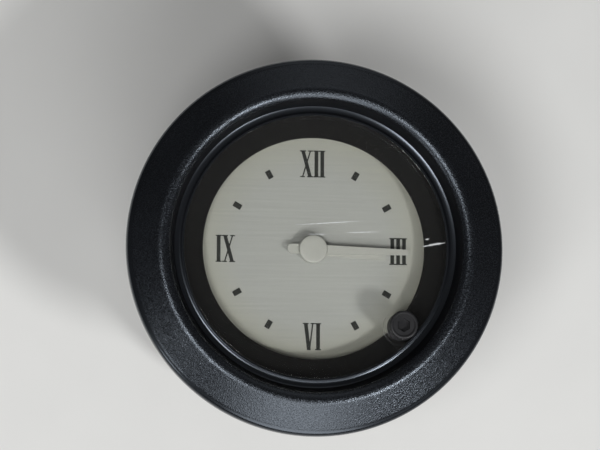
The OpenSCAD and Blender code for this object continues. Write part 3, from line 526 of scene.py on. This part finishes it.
def bezel_finish():
    """Black plastic: a grained face and crest, a dull wall inside them, and a smooth rim and bead."""
    grain_starts = (24.0, 24.25)
    grain_ends = (30.0, 30.3)
    wall_starts = (23.14, 23.2)
    wall_ends = (24.0, 24.2)
    pit_roughness = 0.35
    top_roughness = 0.17
    smooth_roughness = 0.24
    grain_depth = 0.046
    material, tree, shader, place = new_finish(
        "bezel_black", Specular_IOR_Level=0.75, Specular_Tint=(0.77, 0.87, 1.0, 1.0))
    grain = grouped(tree, GRAIN, {"Vector": place, "Scale": 4900.0})
    marks = grouped(tree, UNEVEN, {"Vector": place, "Scale": 90.0})
    reach = radius_of(tree, place)
    face = band(tree, reach, grain_starts, grain_ends)
    tone = mixed(tree, marks["Cloud"], colour("#0a0b0d"), colour("#0f1013"))
    feed(tree, shader.inputs["Base Color"], tone)
    grained = ranged(tree, grain["Tops"], 0.0, 1.0, pit_roughness, top_roughness)
    gloss = node(tree, "ShaderNodeMix", {0: face, 2: smooth_roughness, 3: grained})
    feed(tree, shader.inputs["Roughness"], gloss.outputs[0])
    bumped(tree, shader, sums(tree, "MULTIPLY", grain["Height"], face), 1.0, grain_depth)
    dull = {"Base Color": tone, "Roughness": 0.5, "Specular IOR Level": 0.08}
    wall = node(tree, "ShaderNodeBsdfPrincipled", dull)
    shown(tree, covered(tree, band(tree, reach, wall_starts, wall_ends), shader, wall))
    return material


SCRATCHES = (
    # start, end and width, on the lens
    ((-3.4, 3.5), (7.0, 4.3), 0.12),
    ((5.1, 2.4), (10.2, 2.6), 0.11),
    ((-1.3, 2.0), (1.9, 2.05), 0.1),
    ((17.6, 0.3), (21.3, 1.0), 0.24),
    ((18.0, 1.5), (18.7, 1.6), 0.2),
)


def lens_finish():
    """Clear acrylic that lets the lamps through, with a few pale scratches in its top."""
    scratch_low = LENS_TOP - 0.2
    scratch_high = LENS_TOP - 0.1
    scratch_strength = 0.85
    material, tree, shader, place = new_finish(
        "lens_clear", Base_Color=(1, 1, 1, 1), Roughness=0.03, IOR=1.49, Transmission_Weight=1.0)
    mask = None
    for start, end, width in SCRATCHES:
        points = {"Start": (start[0] * MM, start[1] * MM, 0), "End": (end[0] * MM, end[1] * MM, 0)}
        mark = grouped(tree, SCRATCH, {"Vector": place, "Width": width * MM, **points})["Mask"]
        mask = mark if mask is None else sums(tree, "MAXIMUM", mask, mark)
    up = node(tree, "ShaderNodeSeparateXYZ", {0: place}).outputs["Z"]
    mask = sums(tree, "MULTIPLY", mask, ranged(tree, up, scratch_low * MM, scratch_high * MM))
    scratched = node(tree, "ShaderNodeBsdfPrincipled", {"Base Color": colour("#e6e8ea"), "Roughness": 0.5})
    clear = tree.nodes.new("ShaderNodeBsdfTransparent")
    path = tree.nodes.new("ShaderNodeLightPath")
    marked = covered(tree, sums(tree, "MULTIPLY", mask, scratch_strength), shader, scratched)
    through = sums(tree, "MAXIMUM", path.outputs["Is Shadow Ray"], path.outputs["Is Diffuse Ray"])
    shown(tree, covered(tree, through, marked, clear))
    return material


def dial_finish():
    """Silver paint with fine level brushing, a little yellower near the shroud, with painted light that makes
    it darker towards the XII and lighter towards the VI.
    """
    yellow_starts = 12.5
    yellow_ends = 18.5
    yellow_share = 0.8
    line_share = 0.36
    cloud_share = 0.12
    painted_shade_reach = 14.0
    painted_shade_low = -0.15
    painted_shade_high = 0.2
    gloss_low = 0.42
    gloss_high = 0.58
    line_depth = 0.015
    material, tree, shader, place = new_finish("dial_silver", Metallic=0.0)
    lines = grouped(tree, BRUSHED, {"Vector": place, "Lines": 3000.0, "Length": 50.0})
    marks = grouped(tree, UNEVEN, {"Vector": place, "Scale": 60.0})
    edge = ranged(tree, radius_of(tree, place), yellow_starts * MM, yellow_ends * MM)
    tone = mixed(tree, sums(tree, "MULTIPLY", edge, yellow_share), colour("#9c9e98"), colour("#999988"))
    # Painted shade and sheen: the base colour is darker towards the XII and lighter towards the VI, as if lit
    # by the lamps below
    up = node(tree, "ShaderNodeSeparateXYZ", {0: place}).outputs["Y"]
    painted_shade = ranged(tree, up, -painted_shade_reach * MM, painted_shade_reach * MM, painted_shade_low, painted_shade_high)
    tone_and_painted_shade = sums(tree, "ADD", sums(tree, "MULTIPLY", lines["Streak"], line_share),
                    sums(tree, "ADD", sums(tree, "MULTIPLY", marks["Cloud"], cloud_share), painted_shade))
    feed(tree, shader.inputs["Base Color"], mixed(tree, tone_and_painted_shade, tone, colour("#8c8e88")))
    feed(tree, shader.inputs["Roughness"], ranged(tree, lines["Streak"], 0.0, 1.0, gloss_low, gloss_high))
    bumped(tree, shader, lines["Streak"], 0.25, line_depth)
    return material


def winding_finish():
    """Copper wire laid turn by turn along the coil."""
    cloud_share = 0.3
    wire_depth = 0.05
    material, tree, shader, place = new_finish("winding_copper", Metallic=0.7, Roughness=0.35)
    laid = {"Vector": place, "Scale": 1600.0, "Distortion": 0.6}
    wire = node(tree, "ShaderNodeTexWave", laid, bands_direction="X").outputs[1]
    marks = grouped(tree, UNEVEN, {"Vector": place, "Scale": 300.0})
    tone = mixed(tree, wire, colour("#6e2f16"), colour("#b5683a"))
    clouded = mixed(tree, sums(tree, "MULTIPLY", marks["Cloud"], cloud_share), tone, colour("#8a4526"))
    feed(tree, shader.inputs["Base Color"], clouded)
    bumped(tree, shader, wire, 0.4, wire_depth)
    return material


PLAIN_FINISHES = (
    # slot, lighter and darker tone, roughness, scale of its clouds, and what differs from a moulded plastic
    ("seal_rubber", "#2a2a2c", "#1f1f21", 0.75, 400.0, {}),
    ("shroud_black", "#0b0b0a", "#080807", 0.6, 160.0, {"bump": 0.1, "Specular_IOR_Level": 0.06}),
    ("dial_print", "#262724", "#1f201e", 0.6, 900.0, {"Specular_IOR_Level": 0.15}),
    ("hand_white", "#a3a49c", "#9a9b93", 0.42, 200.0, {"bump": 0.05}),
    ("knob_black", "#262628", "#1e1e20", 0.4, 500.0, {"bump": 0.1, "Specular_IOR_Level": 0.3}),
    ("steel", "#b4b6b9", "#8f9296", 0.32, 500.0, {"metallic": 1.0}),
    ("zinc_steel", "#b9bab6", "#8f918f", 0.42, 300.0, {"metallic": 1.0}),
    ("brass", "#cdab62", "#a98642", 0.36, 350.0, {"metallic": 1.0}),
    ("wheel_acetal", "#dcdcd4", "#cfcfc6", 0.45, 300.0, {}),
    ("frame_plastic", "#3a3c40", "#2f3134", 0.5, 200.0, {}),
    ("magnet", "#46474a", "#343538", 0.4, 500.0, {"metallic": 0.6}),
    ("lamination", "#85888c", "#6d7074", 0.42, 400.0, {"metallic": 0.9}),
    ("bobbin_plastic", "#d8d4c4", "#c8c4b4", 0.45, 300.0, {}),
    ("board_green", "#1f5a36", "#184a2c", 0.4, 250.0, {}),
    ("chip_black", "#222224", "#19191b", 0.55, 500.0, {}),
    ("crystal_can", "#c3c5c7", "#a2a4a7", 0.28, 300.0, {"metallic": 1.0}),
    ("capacitor_sleeve", "#26365e", "#1d2b4d", 0.35, 300.0, {}),
    ("resistor_body", "#c7ab7f", "#b6996c", 0.45, 400.0, {}),
    ("case_black", "#202124", "#18191b", 0.48, 120.0, {"bump": 0.25, "depth": 0.03}),
    ("holder_plastic", "#2c2d30", "#232427", 0.45, 220.0, {}),
    ("lamp_glass", "#ffffff", "#f4f7f7", 0.08, 400.0,
     {"bump": 0.02, "Transmission_Weight": 1.0, "IOR": 1.45}),
)

FINISHES = {
    "bezel_black": bezel_finish(),
    "lens_clear": lens_finish(),
    "dial_silver": dial_finish(),
    "winding_copper": winding_finish(),
}
for slot, light, dark, rough, scale, other in PLAIN_FINISHES:
    FINISHES[slot] = plain_finish(slot, light, dark, rough, scale, **other)
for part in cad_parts.values():
    for material_slot in part.material_slots:
        material_slot.material = FINISHES[material_slot.material.name.split(".")[0]]


# The pieces that show

def make_bezel():
    """A coned face and a rounded crest, with a wall inside that ends in a cove and a bead over the lens."""
    skirt_end = -4.0
    recess_top = 0.2
    face_start = (BEZEL_R, 1.729, 0.9)
    crest = (24.468, 5.363, 1.7)
    wall_foot = (23.186, 1.746)
    cove = (22.805, 1.6, 2.2)
    cove_end = (22.35, 1.6)
    bead = (21.95, 1.83, 0.15)
    bead_play = 0.05
    bead_in = PANE_R + bead_play
    bead_edge = 1.8
    bead_under = PANE_STEP + bead_play
    lug_in = 23.97
    lug_out = SKIRT_R + 0.55
    lug_middle = (LUG_LOW + LUG_HIGH) / 2
    ring = turned([
        (SKIRT_IN, skirt_end, 0.15), (SKIRT_R, skirt_end, 0.2), (SKIRT_R, recess_top), (SEAT_R, recess_top),
        (SEAT_R, 0, 0.05), (BEZEL_R, 0, 0.25), face_start, crest, wall_foot, cove, cove_end, bead,
        (bead_in, bead_edge), (bead_in, bead_under), (LIP_R, bead_under), (LIP_R, LIP_UNDER),
        (SKIRT_IN, LIP_UNDER)])
    lug = [
        (lug_in, LUG_LOW), (SKIRT_R, LUG_LOW), (lug_out, lug_middle),
        (lug_out, LUG_HIGH), (lug_in, LUG_HIGH)]
    joined(ring, *[swept(lug, angle, LUG_SWEEP) for angle in LUG_ANGLES])
    placed(ring, "bezel_ring", "bezel", "root", "bezel_black")


def make_lens():
    """A clear pane that is stepped under the bezel's bead, with a flange and a tube round the knob."""
    under = -0.1
    flange_in = 21.2
    flange_low = -0.5
    tube_low = -1.1
    tube_length = 1.3
    cutter = 5.0
    cutter_low = -2.0
    pane = turned([
        (0, under), (flange_in, under), (flange_in, flange_low), (FLANGE_R, flange_low, 0.1),
        (FLANGE_R, LIP_UNDER, 0.05), (LENS_R, LIP_UNDER), (LENS_R, PANE_STEP), (PANE_R, PANE_STEP),
        (PANE_R, LENS_TOP, 0.1), (0, LENS_TOP)])
    joined(pane, rod(TUBE_R, tube_low, tube_length, KNOB_AT))
    cut(pane, rod(TUBE_BORE, cutter_low, cutter, KNOB_AT))
    placed(pane, "lens_pane", "lens", "root", "lens_clear")


def make_shroud():
    """A mask with a lip that slopes down to the dial, and a wall under the seal and the lens's flange."""
    window_r = 18.3
    window_top = -1.2
    window_low = -1.75
    wall_in = 21.9
    lip_top = -0.7
    lip_low = -1.85
    seal_seat = -1.3
    foot = -3.8
    pocket_r = 3.2
    pocket_floor = -1.25
    stem_hole_r = 1.3
    stem_hole_low = -3.2
    cutter = 6.0
    mask = turned([
        (window_r, window_low), (window_r, window_top, 0.12), (wall_in, lip_top), (wall_in, seal_seat),
        (FLANGE_R, seal_seat), (FLANGE_R, foot), (wall_in, foot), (wall_in, lip_low)])
    cut(mask, rod(pocket_r, pocket_floor, cutter, KNOB_AT),
        rod(stem_hole_r, stem_hole_low, cutter, KNOB_AT))
    placed(mask, "dial_mask", "dial_shroud", "root", "shroud_black")


def make_hand(name, cad_node, body, length, width, tip, tail, hub, bore, turn):
    """A tapered hand with a rounded tail and a round hub, turned from XII to its place."""
    tip_round = 0.1
    edge_round = 0.09
    tail_steps = 16
    cutter = 3.0
    z, thick = heights(cad_node)
    half = width / 2
    end = [(half * math.cos(a), half - tail + half * math.sin(a))
           for a in (math.pi + math.pi * k / tail_steps for k in range(tail_steps + 1))]
    point = [(tip / 2, length, tip_round), (-tip / 2, length, tip_round)]
    blade = plate([*point, (-half, 0), *end, (half, 0)], z, thick)
    joined(blade, rod(hub, z, thick))
    cut(blade, rod(bore, z - 1, cutter))
    eased(blade, edge_round, segments=3)
    blade.rotation_euler.z = math.radians(-turn)
    settle()
    placed(blade, name, cad_node, body, "hand_white")


def make_hub():
    """A round cap with a soft edge, pressed on the arbor."""
    flat_r = 1.4
    edge_drop = 0.03
    arbor_r = 0.61
    roof = 0.3
    z, thick = heights("hub_cap")
    top = z + thick
    cap = turned([
        (0, z), (HUB_R, z, 0.05), (HUB_R, top - edge_drop, 0.24), (flat_r, top), (0, top)],
        steps=SMALL_STEPS)
    cut(cap, rod(arbor_r, z - 1, 1 + thick - roof))
    placed(cap, "hub_button", "hub_cap", "minute_group", "hand_white")


def make_knob():
    """A fluted knob with a dished top, a six-sided socket in it and a bore for the stem."""
    foot = 0.6
    dish_r = 1.85
    dish_floor = KNOB_TOP - 0.3
    socket_flats = 2.0
    socket_floor = 3.1
    socket_turn = 12
    stem_r = 1.01
    stem_low = 0.1
    stem_length = 2.6
    flute_count = 20
    flute_steps = 16
    flute_r = 0.18
    flute_depth = 0.12
    flute_low = 3.3
    flute_ring = KNOB_R + flute_r - flute_depth
    cutter = 3.0
    knob = turned([
        (0, foot), (KNOB_R, foot, 0.1), (KNOB_R, KNOB_TOP, 0.3), (dish_r, KNOB_TOP, 0.08),
        (dish_r, dish_floor), (0, dish_floor)], KNOB_AT, SMALL_STEPS)
    cut(knob, rod(socket_flats / math.sqrt(3), socket_floor, cutter, KNOB_AT, 6,
                  KNOB_ANGLE + socket_turn + HEX_TURN))
    cut(knob, rod(stem_r, stem_low, stem_length, KNOB_AT))
    flutes = []
    for i in range(flute_count):
        away = polar(flute_ring, 360 * i / flute_count)
        place = (KNOB_AT[0] + away[0], KNOB_AT[1] + away[1])
        flutes.append(rod(flute_r, flute_low, cutter, place, flute_steps))
    cut(knob, *flutes)
    placed(knob, "knob_cap", "setting_knob", "knob_group", "knob_black")


def make_spring():
    """The spring on the setting stem: a ring of wire coiled round the stem."""
    turns = 5
    coil_r = 1.35
    wire_r = 0.175
    wire_steps = 12
    z, length = heights("setting_spring")
    ring = [(coil_r + wire_r * math.cos(a), 0, z + wire_r + wire_r * math.sin(a))
            for a in (math.tau * k / wire_steps for k in range(wire_steps + 1))]
    rise = (length - 2 * wire_r) / turns
    stem = (KNOB_AT[0] * MM, KNOB_AT[1] * MM)
    coil = drawn(ring)
    leave()
    applied(coil, "SCREW", axis="Z", screw_offset=rise * MM, iterations=turns, steps=HELIX_STEPS,
            render_steps=HELIX_STEPS)
    edit()
    bpy.ops.mesh.fill_holes(sides=0)
    closed_up()
    coil.location = (*stem, 0)
    settle()
    placed(coil, "stem_coil", "setting_spring", "root", "steel")
    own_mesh(coil)


def make_case():
    """A cup with a ledge and a key for the movement, windows for the lugs and openings in its floor."""
    rear_chamfer = 1.5
    lug_play = 0.1
    window_in = 23.9
    window_out = 26.5
    window_low = LUG_LOW - lug_play
    window_high = LUG_HIGH + lug_play
    window_sweep = 13.2
    key_size = (2.8, 1.1, 1.5)
    key_y = -23.95
    boss_r = 5.2
    boss_low = FLOOR_Z - 0.2
    boss_h = 2.2
    stud_hole_r = 2.1
    head_pocket_r = 4.02
    blade_slot = (6.5, 1.0)
    holder_hole_r = 4.1
    holder_slot = (10.6, 2.4)
    cutter = 4.0
    cutter_low = REAR_Z - 1
    cutter_middle = REAR_Z + 1
    cup = turned([
        (0, REAR_Z), (CASE_R - rear_chamfer, REAR_Z, 0.4), (CASE_R, REAR_Z + rear_chamfer, 0.4),
        (CASE_R, 0, 0.2), (MOUTH_R, 0, 0.15), (MOUTH_R, LEDGE_Z), (BORE_R, LEDGE_Z), (BORE_R, FLOOR_Z, 0.5),
        (0, FLOOR_Z)])
    window = [
        (window_in, window_low), (window_out, window_low),
        (window_out, window_high), (window_in, window_high)]
    cut(cup, *[swept(window, angle, window_sweep) for angle in LUG_ANGLES])
    joined(cup, block(key_size, (0, key_y, LEDGE_Z + key_size[2] / 2)))
    for place in STUD_PLACES:
        joined(cup, rod(boss_r, boss_low, boss_h, place))
        cut(cup, rod(stud_hole_r, cutter_low, cutter, place),
            rod(head_pocket_r, FLOOR_Z, cutter, place, 6, HEX_TURN))
    cut(cup, *[block((*blade_slot, cutter), (x, BLADE_Y, cutter_middle)) for x in BLADE_X])
    cut(cup, rod(holder_hole_r, cutter_low, cutter, LAMP_AT))
    cut(cup, block((*holder_slot, cutter), (*LAMP_AT, cutter_middle), LAMP_ANGLE + 90))
    placed(cup, "case_cup", "case", "root", "case_black")


def make_blades():
    """Three flat terminals with a hole and a narrowed end, ears on the floor and a tail up to the board."""
    end = -39.0
    end_half = 2.35
    shoulder = -38.1
    half = 3.15
    ear_half = 3.85
    ear_top = FLOOR_Z + 1
    tail_half = 1.2
    tail_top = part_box("terminal_blades")[1].z / MM
    thick = 0.8
    hole_r = 0.95
    hole_z = -35.6
    hole_steps = 40
    cutter = 4.0
    edge_round = 0.12
    side = [
        (end_half, end, 0.2), (half, shoulder, 0.3), (half, FLOOR_Z, 0), (ear_half, FLOOR_Z, 0),
        (ear_half, ear_top, 0), (tail_half, ear_top, 0), (tail_half, tail_top, 0)]
    other_side = [(-x, z, radius) for x, z, radius in reversed(side)]
    tab = plate([*side, *other_side], -thick / 2, thick)
    cut(tab, rod(hole_r, -cutter / 2, cutter, (0, hole_z), hole_steps))
    eased(tab, edge_round)
    tab.rotation_euler.x = math.pi / 2
    tab.location.y = BLADE_Y * MM
    settle()
    tabs = copies(tab, [(x, 0, 0) for x in BLADE_X])
    placed(tabs, "blade_tabs", "terminal_blades", "root", "brass")


def make_lamp_holder():
    """A twist-in holder: a tube for the lamp, a flange and grip behind the case, and two lugs inside it."""
    tube_r = 4.0
    tube_top = -20.4
    lamp_bore = 2.45
    lamp_seat = -26.4
    flange_r = 5.5
    flange_low = REAR_Z - 1.2
    grip_size = (10, 2, 2.8)
    grip_z = -32.4
    grip_round = 0.3
    lug_size = (10.2, 2, 0.8)
    lug_z = -27.6
    lug_bore = 3.0
    cutter = 4.0
    socket = turned([
        (0, flange_low), (flange_r, flange_low, 0.3), (flange_r, REAR_Z, 0.15), (tube_r, REAR_Z),
        (tube_r, tube_top, 0.25), (lamp_bore, tube_top), (lamp_bore, lamp_seat), (0, lamp_seat)],
        LAMP_AT, SMALL_STEPS)
    grip = eased(block(grip_size, (*LAMP_AT, grip_z), LAMP_ANGLE), grip_round, 3)
    lugs = block(lug_size, (*LAMP_AT, lug_z), LAMP_ANGLE)
    cut(lugs, rod(lug_bore, REAR_Z + 1, cutter, LAMP_AT))
    joined(socket, grip, lugs)
    placed(socket, "lamp_socket", "lamp_holder", "root", "holder_plastic")


def make_studs():
    """Two threaded studs with a tapered end, and a six-sided head on the case's floor."""
    pitch = 0.7
    turns = 22
    root_r = 1.57
    flank_starts = 0.117
    crest_starts = 0.365
    crest_ends = 0.452
    thread_low = STUD_END - 2.5 * pitch
    thread_top = REAR_Z - 0.5
    point_r = 1.1
    point_low = STUD_END - 0.5
    point_high = STUD_END + 0.5
    around = STUD_R + 0.1
    above = REAR_Z - 0.2
    shank_r = 1.98
    shank_low = REAR_Z - 0.6
    shank_length = 3.2
    head_r = 3.92
    head_h = 2.0
    thread = drawn([
        (root_r, 0, thread_low), (root_r, 0, thread_low + flank_starts),
        (STUD_R, 0, thread_low + crest_starts), (STUD_R, 0, thread_low + crest_ends),
        (root_r, 0, thread_low + pitch)])
    leave()
    applied(thread, "SCREW", axis="Z", screw_offset=pitch * MM, iterations=turns, steps=HELIX_STEPS,
            render_steps=HELIX_STEPS, use_merge_vertices=True, merge_threshold=MERGE)
    for z, below in ((STUD_END, True), (thread_top, False)):
        edit()
        bpy.ops.mesh.remove_doubles(threshold=MERGE)
        bpy.ops.mesh.bisect(plane_co=(0, 0, z * MM), plane_no=(0, 0, 1), use_fill=True, threshold=1e-8,
                            clear_inner=below, clear_outer=not below)
        closed_up()
    trimmed(thread, turned([
        (0, point_low), (point_r, point_low), (around, point_high), (around, above), (0, above)],
        steps=SMALL_STEPS))
    shank = rod(shank_r, shank_low, shank_length)
    head = rod(head_r, FLOOR_Z, head_h, sides=6, turn=HEX_TURN)
    joined(thread, shank, head)
    studs = copies(thread, STUD_PLACES)
    placed(studs, "stud_pair", "mounting_studs", "root", "zinc_steel")


def make_nuts():
    """Two six-sided nuts with turned-down corners and a countersunk bore."""
    height = 3.2
    corner_r = 4.0
    corner_drop = 0.4
    face_r = 3.4
    bore_r = 2.01
    sink_r = 2.6
    sink = 0.25
    past = 1.0
    top = WASHER_LOW
    low = top - height
    around = corner_r + 0.1
    nut = rod(corner_r, low, height, sides=6, turn=HEX_TURN)
    trimmed(nut, turned([
        (0, low), (face_r, low), (around, low + corner_drop),
        (around, top - corner_drop), (face_r, top), (0, top)], steps=SMALL_STEPS))
    cut(nut, turned([
        (0, low - past), (sink_r, low - past), (bore_r, low + sink),
        (bore_r, top - sink), (sink_r, top + past), (0, top + past)], steps=SMALL_STEPS))
    nuts = copies(nut, STUD_PLACES)
    placed(nuts, "nut_pair", "stud_nuts", "root", "zinc_steel")


def make_washers():
    """Two flat washers with rounded edges."""
    hole_r = 2.1
    outer_r = 4.5
    washer = turned([
        (hole_r, WASHER_LOW, 0.08), (outer_r, WASHER_LOW, 0.15),
        (outer_r, REAR_Z, 0.12), (hole_r, REAR_Z, 0.05)], steps=SMALL_STEPS)
    washers = copies(washer, STUD_PLACES)
    placed(washers, "washer_pair", "stud_washers", "root", "zinc_steel")


make_bezel()
make_lens()
make_shroud()
make_hand("hour_pointer", "hour_hand", "hour_group",
          length=12.2, width=1.9, tip=1.2, tail=1.73, hub=2.13, bore=1.51, turn=95)
make_hand("minute_pointer", "minute_hand", "minute_group",
          length=15.8, width=1.6, tip=0.9, tail=4.2, hub=HUB_R, bore=1.01, turn=91)
make_hub()
make_knob()
make_spring()
make_case()
make_blades()
make_lamp_holder()
make_studs()
make_nuts()
make_washers()


# Floor, light and camera

LAMPS = (
    # name, direction, distance and size in metres, and power in watts
    ("key_right", (0.46, -0.45, 0.765), 1.0, 0.16, 4.2),
    ("key_left", (-0.3, -0.27, 0.915), 1.0, 0.32, 3.6),
    ("low_left", (-0.72, -0.563, 0.407), 1.0, 0.16, 0.9),
    ("window", (0.03, -0.757, 0.65), 1.2, 0.8, 6.2),
    ("fill_back", (0.17, 0.82, 0.55), 1.2, 0.9, 0.7),
)
WORLD_STRENGTH = 0.05
FLOOR_METRES = 6.0

# The photograph's view: turns about X, Y and Z, then a shift across the picture and the distance back
VIEW_TURNS = (-7.123, 6.797, -1.095)
VIEW_SHIFT = (2.36, -3.74, 0)
VIEW_DISTANCE = 655.123
SENSOR_WIDTH = 36.0
FOCAL_LENGTH = 240.0
NEAREST = 10.0


def make_floor():
    bpy.ops.object.select_all(action="DESELECT")
    bpy.ops.mesh.primitive_plane_add(size=FLOOR_METRES, location=(0, 0, STUD_END * MM))
    floor = bpy.context.object
    floor.name = "floor"
    floor.data.materials.append(plain_finish("floor_pale", "#dcdcda", "#d8d8d6", 0.7, 4.0, bump=0.0))


def make_lamp(name, towards, distance, size, power):
    """A round lamp that shines on the middle of the clock."""
    data = bpy.data.lights.new(name, "AREA")
    data.shape = "DISK"
    data.size = size
    data.energy = power
    lamp = bpy.data.objects.new(name, data)
    way = Vector(towards).normalized()
    lamp.location = way * distance
    lamp.rotation_euler = way.to_track_quat("Z", "Y").to_euler()
    bpy.context.scene.collection.objects.link(lamp)


def make_world():
    world = bpy.data.worlds.new("studio")
    world.use_nodes = True
    background = world.node_tree.nodes["Background"]
    background.inputs["Color"].default_value = (1, 1, 1, 1)
    background.inputs["Strength"].default_value = WORLD_STRENGTH
    bpy.context.scene.world = world


def make_camera():
    """The camera, at the photograph's view."""
    turn_x, turn_y, turn_z = (math.radians(a) for a in VIEW_TURNS)
    turn = Matrix.Rotation(turn_z, 3, "Z") @ Matrix.Rotation(turn_y, 3, "Y") @ Matrix.Rotation(turn_x, 3, "X")
    back = turn.transposed()
    eye = back @ (Vector((0, 0, VIEW_DISTANCE)) - Vector(VIEW_SHIFT)) * MM
    data = bpy.data.cameras.new("camera")
    data.sensor_width = SENSOR_WIDTH
    data.lens = FOCAL_LENGTH
    data.clip_start = NEAREST * MM
    camera = bpy.data.objects.new("camera", data)
    bpy.context.scene.collection.objects.link(camera)
    camera.matrix_world = Matrix.Translation(eye) @ back.to_4x4()
    bpy.context.scene.camera = camera


make_floor()
for lamp in LAMPS:
    make_lamp(*lamp)
make_world()
make_camera()
bpy.context.scene.view_settings.view_transform = "Standard"
